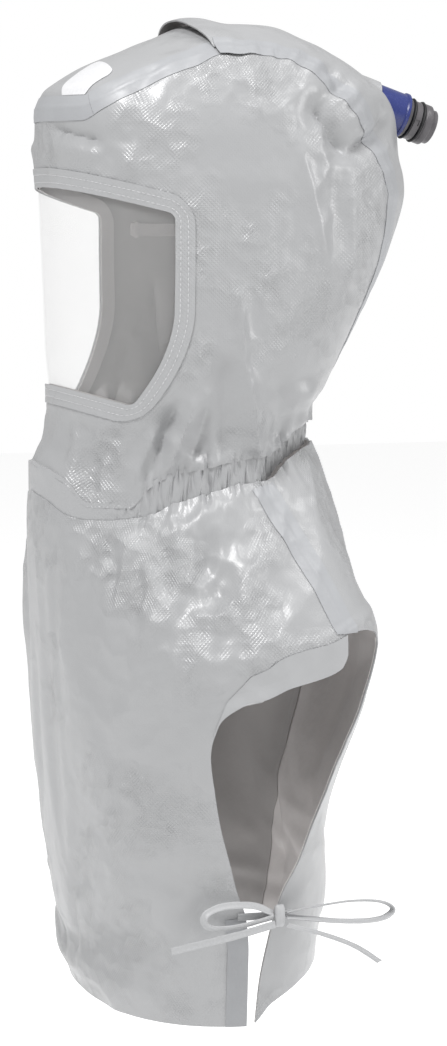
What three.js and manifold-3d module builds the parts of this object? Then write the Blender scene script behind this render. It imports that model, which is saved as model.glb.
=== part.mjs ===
// An air-fed respirator hood: a sewn hood of coated cloth with a clear visor, a gathered neck,
// a cape whose open sides tie below the arms, and an air inlet at the back.
// Millimetres, +Z up. The wearer faces -Y, and +X is the wearer's left.
// The origin is the inside of the crown, on the hood's upright axis.
import * as THREE from "three";
import { mergeVertices } from "three/addons/utils/BufferGeometryUtils.js";
import Module from "manifold-3d";

const wasm = await Module();
wasm.setup();

// Driving sizes
const GAP = 0.4; // between pieces that lie on each other
const CLOTH = 1.5; // wall of the coated cloth
const TAPE = 0.8; // thickness of the sealing tape
const HOOD_HEIGHT = 385; // crown to the middle of the neckline
const HOOD_SIDE = 122; // largest half width
const HOOD_FRONT = 148; // furthest forward of the axis
const HOOD_BACK = 180; // furthest behind the axis
const CAPE_HEM_DROP = 819; // crown to the front hem
const CAPE_SIDE = 188; // largest half width
const CAPE_FRONT = 148;
const CAPE_BACK = 132;
const FOLD_DEPTH = 10; // the deepest fold in the cloth
const FOLD_WIDTH = 20; // the widest fold in the cloth
const BAND_THICKNESS = 2;
const BAND_TUCK = 4; // overlap of the neck band with the hood and with the cape
const BAND_RECESS_TOP = 5.3; // the band stands in from the hood's hem
const BAND_RECESS_BOTTOM = 4.5;
const GATHER_COUNT = 18;
const GATHER_DEPTH = 1.6;
const SEAM_TAPE_WIDTH = 20;
const NAPE_TAPE_END = 318; // the crown tapes stop this far below the crown
const BINDING_WIDTH = 15; // sewn border round the visor
const BINDING_THICKNESS = 1.1;
const VISOR_THICKNESS = 0.9;
const VISOR_TUCK = 8; // how far the visor reaches behind the cloth
const VISOR_TOP_FRONT_DROP = 135;
const VISOR_TOP_SIDE_DROP = 158;
const VISOR_BOTTOM_FRONT_DROP = 300;
const VISOR_BOTTOM_SIDE_DROP = 314;
const VISOR_SIDE_Y = -56;
const VISOR_BOTTOM_SIDE_Y = -86;
const VISOR_CORNER = 9;
const BROW_TAPE_WIDTH = 20;
const PLEAT_FRONT_Y = -23; // open front edge of the rear crown panel, on the middle line
const PLEAT_SWEEP = 9; // how far that edge runs back at the panel's sides
const PLEAT_LIFT = 6;
const PLEAT_LENGTH = 40; // the rear panel lies flush again this far behind its front edge
const PLEAT_OVERLAP = 14; // how far the front crown panel runs on under it
const PLEAT_HALF = 78; // half width of the lifted edge
const PATCH_X = 39; // the patch sits left of the middle line
const PATCH_WIDTH = 52;
const PATCH_FRONT_Y = -129;
const PATCH_BACK_Y = -93;
const PATCH_THICKNESS = 0.6;
const INLET_DROP = 70;
const INLET_Y = 168;
const INLET_TILT_DEG = 19; // the inlet points back and down
const DUCT_OUTER = 19; // radius
const DUCT_BORE = 15.4;
const DUCT_OUTSIDE = 15; // length of the duct behind the cloth
const DUCT_INSIDE = 24;
const DUCT_RIM = 1.2;
const DUCT_RIM_LENGTH = 3;
const FLANGE_RADIUS = 29;
const FLANGE_THICKNESS = 1.8;
const CONNECTOR_RADIUS = 16.8;
const CONNECTOR_BORE = 12.6;
const CONNECTOR_LENGTH = 28;
const CONNECTOR_SPIGOT = 7;
const SEAL_RADIUS = 18.3;
const SEAL_WIDTH = 2.4;
const SEAL_SEAT = 1.6; // depth of the groove that holds a seal ring
const STUB_RADIUS = 14.8;
const STUB_LENGTH = 5;
const COLLAR_LENGTH = 6.5;
const COLLAR_STEP = 0.6;
const NOTCH_DEPTH = 0.9;
const NOTCH_LENGTH = 5;
const NOTCH_WIDTH = 1.2;
const NOTCH_TURN_DEG = 52;
const TIE_ABOVE_HEM = 94;
const TIE_WIDTH = 7.5;
const TIE_THICKNESS = 1.1;
const KNOT_WIDTH = 8.5;
const KNOT_HEIGHT = 20;
const KNOT_DEPTH = 9;
const KNOT_STANDOFF = 1.5; // between the knot and the cape
const KNOT_AHEAD = 6; // the knot's centre lies ahead of the back panel's edge
const TAB_SEWN = 7; // length of a tie's end that lies on the cape
const TAB_CLEARANCE = 1.4;
const LOOP_LEAN_DEG = 50; // the loops of the bow stand edge on to the cape at 0, and flat at 90
const STRAP_STEP = 15.5; // length of one facet of a tie
const STRAP_HEIGHT = 11; // inner strap beside the face
const STRAP_LENGTH = 70;
const STRAP_DROP = 172;

// Colours of the parts
const material = (color, roughness, extra = {}) =>
  new THREE.MeshStandardMaterial({ color, roughness, metalness: 0, ...extra });
const clothMaterial = material(0xc3c4c6, 0.5);
const tapeMaterial = material(0xbcbec2, 0.32);
const visorMaterial = material(0xf4f6f8, 0.05, { transparent: true, opacity: 0.25 });
const ductMaterial = material(0x36418f, 0.3);
const connectorMaterial = material(0x6f6d70, 0.42);
const sealMaterial = material(0x1c1c1e, 0.6);
const patchMaterial = material(0xf3f3f3, 0.35);

// Sections of the hood from the crown down, as shares of the named sizes.
// drop: of HOOD_HEIGHT, side: of HOOD_SIDE, front: of HOOD_FRONT, back and middle: of HOOD_BACK.
// square: 2 is an ellipse and more is boxier. tilt: how far the section follows the neckline.
const HOOD_SECTIONS = [
  { drop: 0.0, side: 0.0, front: -0.18, back: 0.15, middle: 0.15, square: 2.2, tilt: 0 },
  { drop: 0.006, side: 0.3, front: 0.08, back: 0.33, middle: 0.13, square: 2.2, tilt: 0 },
  { drop: 0.034, side: 0.53, front: 0.276, back: 0.483, middle: 0.1, square: 2.2, tilt: 0 },
  { drop: 0.064, side: 0.68, front: 0.492, back: 0.632, middle: 0.07, square: 2.25, tilt: 0 },
  { drop: 0.1, side: 0.8, front: 0.712, back: 0.751, middle: 0.05, square: 2.3, tilt: 0 },
  { drop: 0.153, side: 0.885, front: 0.894, back: 0.88, middle: 0.03, square: 2.3, tilt: 0 },
  { drop: 0.205, side: 0.94, front: 0.938, back: 0.93, middle: 0.0, square: 2.3, tilt: 0 },
  { drop: 0.28, side: 0.975, front: 0.942, back: 0.948, middle: 0.0, square: 2.3, tilt: 0 },
  { drop: 0.36, side: 0.995, front: 0.926, back: 0.972, middle: 0.0, square: 2.3, tilt: 0 },
  { drop: 0.49, side: 1.0, front: 0.911, back: 0.893, middle: 0.0, square: 2.3, tilt: 0 },
  { drop: 0.6, side: 0.99, front: 0.902, back: 0.779, middle: 0.0, square: 2.25, tilt: 0 },
  { drop: 0.7, side: 0.975, front: 0.897, back: 0.662, middle: 0.0, square: 2.2, tilt: 0 },
  { drop: 0.785, side: 0.95, front: 0.88, back: 0.576, middle: 0.0, square: 2.2, tilt: 0.1 },
  { drop: 0.86, side: 0.92, front: 0.88, back: 0.53, middle: 0.0, square: 2.2, tilt: 0.45 },
  { drop: 0.93, side: 0.89, front: 0.9, back: 0.505, middle: 0.0, square: 2.2, tilt: 0.8 },
  { drop: 1.0, side: 0.87, front: 1.005, back: 0.5, middle: 0.0, square: 2.2, tilt: 1 },
].map((row, i, rows) => ({ ...row, at: i / (rows.length - 1) }));

// The hood's hem and the cape's top edge, which leave the neck band showing between them.
// hem and seam: shares of HOOD_HEIGHT below the crown.
const NECKLINE = [
  { angle: 0, hem: 0.951, seam: 1.008 },
  { angle: 12, hem: 0.964, seam: 1.022 },
  { angle: 22, hem: 0.987, seam: 1.05 },
  { angle: 30, hem: 1.031, seam: 1.058 },
  { angle: 45, hem: 1.031, seam: 1.053 },
  { angle: 53, hem: 0.985, seam: 1.043 },
  { angle: 62, hem: 0.961, seam: 1.02 },
  { angle: 76, hem: 0.946, seam: 1.0 },
  { angle: 90, hem: 0.932, seam: 0.982 },
  { angle: 104, hem: 0.925, seam: 0.975 },
  { angle: 116, hem: 0.889, seam: 0.935 },
  { angle: 132, hem: 0.862, seam: 0.913 },
  { angle: 180, hem: 0.847, seam: 0.905 },
];

// The seam round the crown panels. round: share of the way from the brow back to the nape.
// at: share of the way down HOOD_SECTIONS, running out past the hem at the nape.
const CROWN_SEAM = [
  { round: 0, angle: 0, at: 0.378 },
  { round: 0.12, angle: 28, at: 0.38 },
  { round: 0.15, angle: 34, at: 0.358 },
  { round: 0.2, angle: 44, at: 0.31 },
  { round: 0.27, angle: 60, at: 0.25 },
  { round: 0.33, angle: 74, at: 0.2 },
  { round: 0.4, angle: 90, at: 0.198 },
  { round: 0.46, angle: 105, at: 0.2 },
  { round: 0.53, angle: 120, at: 0.238 },
  { round: 0.6, angle: 133, at: 0.318 },
  { round: 0.68, angle: 145, at: 0.415 },
  { round: 0.73, angle: 150, at: 0.5 },
  { round: 0.81, angle: 155, at: 0.65 },
  { round: 0.9, angle: 158.5, at: 0.84 },
  { round: 1, angle: 160, at: 1.06 },
];

// Sections of the cape from the neck band down to the hem, with the side edges of its panels.
// at: share of the way down. frontEdge and backEdge: degrees round from the front.
const CAPE_SECTIONS = [
  { at: 0.0, side: 0.565, front: 1.0, back: 0.68, boxy: 2.2, frontEdge: 100, backEdge: 100 },
  { at: 0.06, side: 0.66, front: 1.005, back: 0.76, boxy: 2.3, frontEdge: 103.4, backEdge: 103.4 },
  { at: 0.14, side: 0.79, front: 0.995, back: 0.81, boxy: 2.6, frontEdge: 106.5, backEdge: 106.5 },
  { at: 0.22, side: 0.915, front: 0.97, back: 0.855, boxy: 3.0, frontEdge: 108.6, backEdge: 108.6 },
  { at: 0.275, side: 0.985, front: 0.952, back: 0.87, boxy: 3.5, frontEdge: 109.5, backEdge: 109.5 },
  { at: 0.3, side: 1.0, front: 0.946, back: 0.885, boxy: 4.0, frontEdge: 110, backEdge: 115 },
  { at: 0.335, side: 1.0, front: 0.942, back: 0.91, boxy: 4.0, frontEdge: 110, backEdge: 122.5 },
  { at: 0.36, side: 1.0, front: 0.938, back: 0.91, boxy: 4.0, frontEdge: 81.5, backEdge: 124.5 },
  { at: 0.41, side: 0.99, front: 0.934, back: 0.88, boxy: 4.0, frontEdge: 77.3, backEdge: 122 },
  { at: 0.47, side: 0.97, front: 0.927, back: 0.825, boxy: 4.0, frontEdge: 75.3, backEdge: 118.8 },
  { at: 0.54, side: 0.945, front: 0.917, back: 0.755, boxy: 3.5, frontEdge: 76.4, backEdge: 116.3 },
  { at: 0.61, side: 0.92, front: 0.904, back: 0.69, boxy: 3.0, frontEdge: 78.1, backEdge: 113 },
  { at: 0.68, side: 0.89, front: 0.888, back: 0.665, boxy: 2.6, frontEdge: 80.8, backEdge: 107 },
  { at: 0.74, side: 0.865, front: 0.872, back: 0.68, boxy: 2.4, frontEdge: 83.2, backEdge: 102.5 },
  { at: 0.79, side: 0.85, front: 0.855, back: 0.7, boxy: 2.2, frontEdge: 86, backEdge: 97 },
  { at: 0.86, side: 0.835, front: 0.825, back: 0.7, boxy: 2.2, frontEdge: 87, backEdge: 93.2 },
  { at: 0.93, side: 0.82, front: 0.79, back: 0.685, boxy: 2.2, frontEdge: 87, backEdge: 90.6 },
  { at: 1.0, side: 0.805, front: 0.735, back: 0.66, boxy: 2.2, frontEdge: 87, backEdge: 89.6 },
];
const SHOULDER_END = 0.275; // share of the way down where the shoulder seam ends
const SHOULDER_TAPE_LIFT = 1.1;

// How far the hem rises towards the middle of the back. rise: share of CAPE_HEM_DROP.
const HEM = [
  { angle: 0, rise: 0.003 },
  { angle: 30, rise: 0.002 },
  { angle: 50, rise: 0 },
  { angle: 88, rise: 0 },
  { angle: 95, rise: 0.02 },
  { angle: 102, rise: 0.03 },
  { angle: 110, rise: 0.038 },
  { angle: 125, rise: 0.045 },
  { angle: 180, rise: 0.047 },
];

// Folds in the cloth run from one place to another, on both sides of the hood.
// angle: degrees round from the front. drop: share of HOOD_HEIGHT, or of the way down the cape.
// width and depth: shares of FOLD_WIDTH and FOLD_DEPTH, with a ridge positive and a dent negative.
const HOOD_FOLDS = [
  { fromAngle: 12, fromDrop: 0.236, toAngle: 36, toDrop: 0.262, width: 0.4, depth: -0.5 },
  { fromAngle: 133, fromDrop: 0.09, toAngle: 134, toDrop: 0.16, width: 0.6, depth: -0.5 },
  { fromAngle: 121, fromDrop: 0.165, toAngle: 133, toDrop: 0.29, width: 0.6, depth: -0.6 },
  { fromAngle: 133, fromDrop: 0.29, toAngle: 158, toDrop: 0.2, width: 0.6, depth: -0.6 },
  { fromAngle: 113, fromDrop: 0.26, toAngle: 122, toDrop: 0.5, width: 0.8, depth: 0.5 },
  { fromAngle: 131, fromDrop: 0.33, toAngle: 134, toDrop: 0.55, width: 0.7, depth: 0.5 },
  { fromAngle: 88, fromDrop: 0.56, toAngle: 90, toDrop: 0.74, width: 0.5, depth: 0.6 },
  { fromAngle: 91, fromDrop: 0.72, toAngle: 98, toDrop: 0.93, width: 0.6, depth: 0.8 },
  { fromAngle: 80, fromDrop: 0.68, toAngle: 84, toDrop: 0.92, width: 0.7, depth: -0.6 },
  { fromAngle: 72, fromDrop: 0.79, toAngle: 58, toDrop: 0.97, width: 0.5, depth: 0.6 },
  { fromAngle: 64, fromDrop: 0.8, toAngle: 50, toDrop: 0.97, width: 0.6, depth: -0.7 },
  { fromAngle: 106, fromDrop: 0.74, toAngle: 110, toDrop: 0.9, width: 0.8, depth: -0.5 },
  { fromAngle: 122, fromDrop: 0.76, toAngle: 126, toDrop: 0.88, width: 0.8, depth: 0.5 },
  { fromAngle: 22, fromDrop: 0.9, toAngle: 32, toDrop: 1.0, width: 0.5, depth: -0.4 },
];
const CAPE_FOLDS = [
  { fromAngle: 30, fromDrop: 0.03, toAngle: 22, toDrop: 0.3, width: 0.8, depth: 0.45 },
  { fromAngle: 52, fromDrop: 0.04, toAngle: 60, toDrop: 0.24, width: 0.8, depth: 0.5 },
  { fromAngle: 70, fromDrop: 0.05, toAngle: 80, toDrop: 0.2, width: 0.7, depth: -0.45 },
  { fromAngle: 8, fromDrop: 0.3, toAngle: 14, toDrop: 0.62, width: 1.0, depth: -0.35 },
  { fromAngle: 24, fromDrop: 0.7, toAngle: 6, toDrop: 0.93, width: 0.7, depth: -0.5 },
  { fromAngle: 45, fromDrop: 0.66, toAngle: 82, toDrop: 0.75, width: 0.8, depth: -0.55 },
  { fromAngle: 60, fromDrop: 0.4, toAngle: 56, toDrop: 0.62, width: 1.0, depth: 0.35 },
  { fromAngle: 40, fromDrop: 0.84, toAngle: 36, toDrop: 1.0, width: 1.0, depth: 0.35 },
  { fromAngle: 148, fromDrop: 0.26, toAngle: 152, toDrop: 1.0, width: 0.8, depth: 0.5 },
  { fromAngle: 134, fromDrop: 0.1, toAngle: 132, toDrop: 0.26, width: 0.8, depth: -0.4 },
];

// Mesh density, and rows of the tables where a mesh starts and ends
const density = {
  hoodColumns: 36,
  hoodRows: 11,
  faceColumns: 8, // each side of the middle
  faceFirstRow: 3,
  faceLastRow: 10,
  bandRows: 2,
  capeFrontColumns: 16,
  capeBackColumns: 12,
  frontHemRow: 14,
  backHemRow: 7,
  roundSegments: 14,
};
const CUT_REACH = 12; // how far a cutting strip stands off the cloth on each side
const FAR = 3 * HOOD_HEIGHT;

const radians = THREE.MathUtils.degToRad;
const tau = 2 * Math.PI;

// One column of a table at x: a smooth curve through the rows that never overshoots them.
function along(rows, key, column, x) {
  const last = rows.length - 1;
  let i = rows.findIndex((row) => row[key] > x) - 1;
  if (x >= rows[last][key]) i = last - 1;
  if (x < rows[0][key]) i = 0;
  const slope = (k) =>
    (rows[k + 1][column] - rows[k][column]) / (rows[k + 1][key] - rows[k][key]);
  const tangent = (k) => {
    if (k === 0) return slope(0);
    if (k === last) return slope(last - 1);
    const before = slope(k - 1);
    const after = slope(k);
    return before * after > 0 ? (2 * before * after) / (before + after) : 0;
  };
  const span = rows[i + 1][key] - rows[i][key];
  const t = Math.min(Math.max((x - rows[i][key]) / span, 0), 1);
  const t2 = t * t;
  const t3 = t2 * t;
  return (
    (2 * t3 - 3 * t2 + 1) * rows[i][column] +
    (t3 - 2 * t2 + t) * span * tangent(i) +
    (3 * t2 - 2 * t3) * rows[i + 1][column] +
    (t3 - t2) * span * tangent(i + 1)
  );
}

const smooth = (from, to, x) => THREE.MathUtils.smoothstep(x, from, to);

// Degrees round from the front, 0 to 180, the same on both sides.
function degreesFromFront(angle) {
  const turned = ((angle % tau) + tau) % tau;
  return THREE.MathUtils.radToDeg(Math.min(turned, tau - turned));
}

// Distance from the axis of an oval with different depths before and behind it.
function ovalRadius(angle, side, front, back, square) {
  const depth = Math.cos(angle) > 0 ? front : back;
  const across = Math.abs(Math.sin(angle)) / side;
  const deep = Math.abs(Math.cos(angle)) / depth;
  return Math.pow(Math.pow(across, square) + Math.pow(deep, square), -1 / square);
}

// Height of a fold table over a place on the cloth, tapering at the ends of each fold.
function foldHeight(folds, angle, drop, reach, fall) {
  const degrees = degreesFromFront(angle);
  let height = 0;
  for (const fold of folds) {
    const fromX = radians(fold.fromAngle) * reach;
    const toX = radians(fold.toAngle) * reach;
    const fromZ = fold.fromDrop * fall;
    const toZ = fold.toDrop * fall;
    const lengthSq = (toX - fromX) ** 2 + (toZ - fromZ) ** 2;
    const x = radians(degrees) * reach;
    const z = drop * fall;
    const t = ((x - fromX) * (toX - fromX) + (z - fromZ) * (toZ - fromZ)) / lengthSq;
    const on = Math.min(Math.max(t, 0), 1);
    const away = Math.hypot(x - fromX - on * (toX - fromX), z - fromZ - on * (toZ - fromZ));
    const taper = smooth(-0.1, 0.3, t) * (1 - smooth(0.8, 1.15, t));
    height += fold.depth * FOLD_DEPTH * taper * Math.exp(-((away / (fold.width * FOLD_WIDTH)) ** 2));
  }
  return height;
}

// The visor opening in side view
const topLineSlope =
  (VISOR_TOP_FRONT_DROP - VISOR_TOP_SIDE_DROP) / (VISOR_SIDE_Y + HOOD_FRONT * 0.95);
const bottomLineSlope =
  (VISOR_BOTTOM_FRONT_DROP - VISOR_BOTTOM_SIDE_DROP) / (VISOR_BOTTOM_SIDE_Y + HOOD_FRONT * 0.9);
const visorTop = (y) => -VISOR_TOP_SIDE_DROP - topLineSlope * (VISOR_SIDE_Y - y);
const visorBottom = (y) => -VISOR_BOTTOM_SIDE_DROP - bottomLineSlope * (VISOR_BOTTOM_SIDE_Y - y);
const VISOR_STRAIGHT = 0.56; // share of the side edge that is straight

function visorOutline(margin) {
  const ahead = -2 * HOOD_FRONT;
  const side = VISOR_SIDE_Y + margin;
  const corner = VISOR_CORNER + margin * 0.7;
  const straightEnd =
    -VISOR_TOP_SIDE_DROP - VISOR_STRAIGHT * (VISOR_BOTTOM_SIDE_DROP - VISOR_TOP_SIDE_DROP);
  const lowY = VISOR_BOTTOM_SIDE_Y + margin * 0.5;
  const shape = new THREE.Shape();
  shape.moveTo(ahead, visorTop(ahead) + margin);
  shape.lineTo(side - corner, visorTop(side - corner) + margin);
  const topZ = visorTop(side) + margin;
  shape.quadraticCurveTo(side, topZ, side, topZ - corner);
  shape.lineTo(side, straightEnd);
  const bottomZ = visorBottom(lowY) - margin;
  const turn = new THREE.Vector2(side - 0.12 * (side - lowY), bottomZ + (straightEnd - bottomZ) * 0.42);
  const low = new THREE.Vector2(lowY + corner * 0.35, bottomZ + corner);
  shape.quadraticCurveTo(turn.x, turn.y, low.x, low.y);
  shape.quadraticCurveTo(lowY, bottomZ, lowY - corner, visorBottom(lowY - corner) - margin);
  shape.lineTo(ahead, visorBottom(ahead) - margin);
  shape.closePath();
  return shape;
}

// How far a place lies outside the visor opening, in side view.
function outsideVisor(y, z) {
  const low = THREE.MathUtils.clamp(
    (-z - VISOR_TOP_SIDE_DROP) / (VISOR_BOTTOM_SIDE_DROP - VISOR_TOP_SIDE_DROP),
    VISOR_STRAIGHT,
    1.2,
  );
  const curve = ((low - VISOR_STRAIGHT) / (1 - VISOR_STRAIGHT)) ** 2;
  const side = VISOR_SIDE_Y + curve * (VISOR_BOTTOM_SIDE_Y - VISOR_SIDE_Y);
  return Math.max(z - visorTop(y), y - side, visorBottom(y) - z);
}

// Smooth surface of the hood before its folds: v runs from the crown, 0, to the hem, 1,
// and straight down past it for cutting.
function hoodBase(angle, v) {
  const at = (column) => along(HOOD_SECTIONS, "at", column, v);
  const middle = at("middle") * HOOD_BACK;
  const radius = ovalRadius(
    angle,
    Math.max(at("side") * HOOD_SIDE, 1e-3),
    Math.max(at("front") * HOOD_FRONT + middle, 1e-3),
    Math.max(at("back") * HOOD_BACK - middle, 1e-3),
    at("square"),
  );
  const hem = along(NECKLINE, "angle", "hem", degreesFromFront(angle));
  const stretch = 1 + (hem - 1) * at("tilt");
  return new THREE.Vector3(
    radius * Math.sin(angle),
    middle - radius * Math.cos(angle),
    -(at("drop") * stretch + Math.max(v - 1, 0)) * HOOD_HEIGHT,
  );
}

// Outward direction of a surface, from two small steps along it.
function outward(surface, u, v, vFirst = 0, vLast = 1) {
  const step = 0.004;
  const vHere = THREE.MathUtils.clamp(v, vFirst + step, vLast - step);
  const round = surface(u + step, vHere).sub(surface(u - step, vHere));
  const down = surface(u, vHere + step).sub(surface(u, vHere - step));
  return round.cross(down).negate().normalize();
}

// Gathers are drawn in by elastic from beside the throat round to the nape.
function gather(angle) {
  const drawn = smooth(30, 50, degreesFromFront(angle));
  return drawn * GATHER_DEPTH * Math.cos(GATHER_COUNT * angle);
}

function hoodSurface(angle, v) {
  const base = hoodBase(angle, v);
  const calm = smooth(BINDING_WIDTH + 2, BINDING_WIDTH + 30, outsideVisor(base.y, base.z));
  const crownCalm = smooth(0.14, 0.3, v);
  const drop = -base.z / HOOD_HEIGHT;
  const fold = foldHeight(HOOD_FOLDS, angle, drop, HOOD_SIDE, HOOD_HEIGHT);
  const ripple = gather(angle) * smooth(0.88, 1, v);
  const height = fold * calm * crownCalm * (1 - smooth(0.97, 1, v)) + ripple;
  return base.addScaledVector(outward(hoodBase, angle, v), height);
}

// Distance of the neck from the axis
function neckRadius(angle) {
  return ovalRadius(
    angle,
    CAPE_SECTIONS[0].side * CAPE_SIDE,
    CAPE_SECTIONS[0].front * CAPE_FRONT,
    CAPE_SECTIONS[0].back * CAPE_BACK,
    2.2,
  );
}

const neckHeight = (angle, column) =>
  -along(NECKLINE, "angle", column, degreesFromFront(angle)) * HOOD_HEIGHT;

function capeBase(angle, s) {
  const at = (column) => along(CAPE_SECTIONS, "at", column, s);
  const radius = ovalRadius(
    angle,
    at("side") * CAPE_SIDE,
    at("front") * CAPE_FRONT,
    at("back") * CAPE_BACK,
    Math.cos(angle) > 0 ? 2.2 : at("boxy"),
  );
  const top = neckHeight(angle, "seam");
  const hem = (along(HEM, "angle", "rise", degreesFromFront(angle)) - 1) * CAPE_HEM_DROP;
  return new THREE.Vector3(radius * Math.sin(angle), -radius * Math.cos(angle), top + s * (hem - top));
}

function capeSurface(angle, s) {
  const fold = foldHeight(CAPE_FOLDS, angle, s, CAPE_SIDE, CAPE_HEM_DROP - HOOD_HEIGHT);
  const base = capeBase(angle, s);
  return base.addScaledVector(outward(capeBase, angle, s), fold * smooth(0, 0.06, s));
}

// Moves a place on a surface by a distance square to a direction of travel.
function sideways(surface, [u, v], [du, dv], distance) {
  const step = 1e-3;
  const acrossU = surface(u + step, v).sub(surface(u - step, v)).divideScalar(2 * step);
  const acrossV = surface(u, v + step).sub(surface(u, v - step)).divideScalar(2 * step);
  const travel = acrossU.clone().multiplyScalar(du).addScaledVector(acrossV, dv);
  const side = acrossU.clone().cross(acrossV).cross(travel).setLength(distance);
  const uu = acrossU.dot(acrossU);
  const uv = acrossU.dot(acrossV);
  const vv = acrossV.dot(acrossV);
  const su = side.dot(acrossU);
  const sv = side.dot(acrossV);
  const scale = uu * vv - uv * uv;
  return [u + (su * vv - sv * uv) / scale, v + (sv * uu - su * uv) / scale];
}

// A wall between two offsets of a surface, as one closed body.
// place(i, j) gives the surface's own coordinates at a column and a row.
function wall({ surface, place, columns, rows, closed = false, pole = false, outside, inside }) {
  const positions = [];
  const index = [];
  const across = closed ? columns : columns + 1;
  const layers = [outside, inside].map((offset) => {
    const ids = [];
    for (let j = 0; j <= rows; j++) {
      const row = [];
      for (let i = 0; i < across; i++) {
        if (pole && j === 0 && i > 0) {
          row.push(row[0]);
          continue;
        }
        const [u, v] = place(i, j);
        const point = surface(u, v);
        const normal = pole && j === 0 ? new THREE.Vector3(0, 0, 1) : outward(surface, u, v);
        const lift = typeof offset === "function" ? offset(point) : offset;
        row.push(positions.length / 3);
        positions.push(...point.addScaledVector(normal, lift));
      }
      ids.push(row);
    }
    return ids;
  });
  const quad = (a, b, c, d) => index.push(a, b, c, a, c, d);
  const [out, inn] = layers;
  for (let j = 0; j < rows; j++) {
    for (let i = 0; i < columns; i++) {
      const k = (i + 1) % across;
      if (pole && j === 0) {
        index.push(out[0][0], out[1][i], out[1][k], inn[0][0], inn[1][k], inn[1][i]);
        continue;
      }
      quad(out[j][i], out[j + 1][i], out[j + 1][k], out[j][k]);
      quad(inn[j][i], inn[j][k], inn[j + 1][k], inn[j + 1][i]);
    }
  }
  for (let i = 0; i < columns; i++) {
    const k = (i + 1) % across;
    quad(out[rows][i], inn[rows][i], inn[rows][k], out[rows][k]);
    if (!pole) quad(out[0][i], out[0][k], inn[0][k], inn[0][i]);
  }
  if (!closed) {
    for (let j = 0; j < rows; j++) {
      quad(out[j][0], inn[j][0], inn[j + 1][0], out[j + 1][0]);
      quad(out[j][columns], out[j + 1][columns], inn[j + 1][columns], inn[j][columns]);
    }
  }
  const geometry = new THREE.BufferGeometry();
  geometry.setAttribute("position", new THREE.Float32BufferAttribute(positions, 3));
  geometry.setIndex(index);
  return geometry;
}

// Solids for cutting and joining, with their faces turned out
function solid(geometry) {
  const bare = geometry.clone();
  bare.deleteAttribute("normal");
  bare.deleteAttribute("uv");
  const merged = mergeVertices(bare, 1e-4);
  const corners = Array.from(merged.index.array);
  const build = () =>
    new wasm.Manifold(
      new wasm.Mesh({
        numProp: 3,
        vertProperties: merged.attributes.position.array,
        triVerts: new Uint32Array(corners),
      }),
    );
  const made = build();
  if (made.volume() > 0) return made;
  for (let i = 0; i < corners.length; i += 3) {
    [corners[i + 1], corners[i + 2]] = [corners[i + 2], corners[i + 1]];
  }
  return build();
}

function geometryOf(made) {
  const mesh = made.getMesh();
  const geometry = new THREE.BufferGeometry();
  geometry.setAttribute("position", new THREE.BufferAttribute(mesh.vertProperties, 3));
  geometry.setIndex(new THREE.BufferAttribute(mesh.triVerts, 1));
  geometry.computeVertexNormals();
  return geometry;
}

const placed = (made, matrix) => solid(geometryOf(made).applyMatrix4(matrix));

// A side-view outline drawn in Y and Z, carried right through the hood along X.
function sideCutter(shape) {
  const depth = 4 * CAPE_SIDE;
  const geometry = new THREE.ExtrudeGeometry(shape, { depth, bevelEnabled: false, curveSegments: 4 });
  const turn = new THREE.Matrix4().makeBasis(
    new THREE.Vector3(0, 1, 0),
    new THREE.Vector3(0, 0, 1),
    new THREE.Vector3(1, 0, 0),
  );
  return solid(geometry.applyMatrix4(turn).translate(-depth / 2, 0, 0));
}

// A plan outline drawn in X and Y, carried between two heights.
function planCutter(shape, low, high) {
  const depth = high - low;
  const geometry = new THREE.ExtrudeGeometry(shape, { depth, bevelEnabled: false, curveSegments: 5 });
  return solid(geometry.translate(0, 0, low));
}

function polygon(points) {
  return new THREE.Shape(points.map(([x, y]) => new THREE.Vector2(x, y)));
}

const hoodAngle = (i) => (i / density.hoodColumns) * tau;
const hoodRow = (j) => (j / density.hoodRows) ** 0.85;

function hoodWall(outside, inside) {
  return solid(
    wall({
      surface: hoodSurface,
      place: (i, j) => [hoodAngle(i), hoodRow(j)],
      columns: density.hoodColumns,
      rows: density.hoodRows,
      closed: true,
      pole: true,
      outside,
      inside,
    }),
  );
}

// The part of the hood's surface round the face

function faceWall(outside, inside) {
  return solid(
    wall({
      surface: hoodSurface,
      place: (i, j) => [hoodAngle(i - density.faceColumns), hoodRow(density.faceFirstRow + j)],
      columns: 2 * density.faceColumns,
      rows: density.faceLastRow - density.faceFirstRow,
      outside,
      inside,
    }),
  );
}

// A place beside the crown seam: round runs from 0 at the brow to 1 at the nape, grow is outwards.
function seamPlace(round, side, grow) {
  const at = (column, place) => along(CROWN_SEAM, "round", column, place);
  const turn = radians(at("angle", round + 0.005) - at("angle", round - 0.005));
  const travel = [side * turn, at("at", round + 0.005) - at("at", round - 0.005)];
  return sideways(hoodBase, [side * radians(at("angle", round)), at("at", round)], travel, side * grow);
}

// Everything within the crown seam, right through the cloth. A positive grow widens it.
function crownCutter(grow) {
  const steps = 20;
  const rows = 10;
  const left = Array.from({ length: steps + 1 }, (_, i) => seamPlace(i / steps, 1, grow));
  const right = Array.from({ length: steps }, (_, i) => seamPlace(1 - i / steps, -1, grow));
  const below = left[steps][1];
  const ring = [...left, ...[167, 173, 180, 187, 193].map((degrees) => [radians(degrees), below]), ...right];
  return solid(
    wall({
      surface: hoodSurface,
      place: (i, j) => [ring[i][0], (ring[i][1] * j) / rows],
      columns: ring.length,
      rows,
      closed: true,
      pole: true,
      outside: CUT_REACH,
      inside: -CUT_REACH,
    }),
  );
}

// A strip along the crown seam, right through the cloth
function seamStrip(from, to, side, half) {
  const rows = Math.max(4, Math.round((to - from) * 20));
  return solid(
    wall({
      surface: hoodSurface,
      place: (i, j) => seamPlace(from + ((to - from) * j) / rows, side, (2 * i - 1) * half),
      columns: 1,
      rows,
      outside: CUT_REACH,
      inside: -CUT_REACH,
    }),
  );
}

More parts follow.
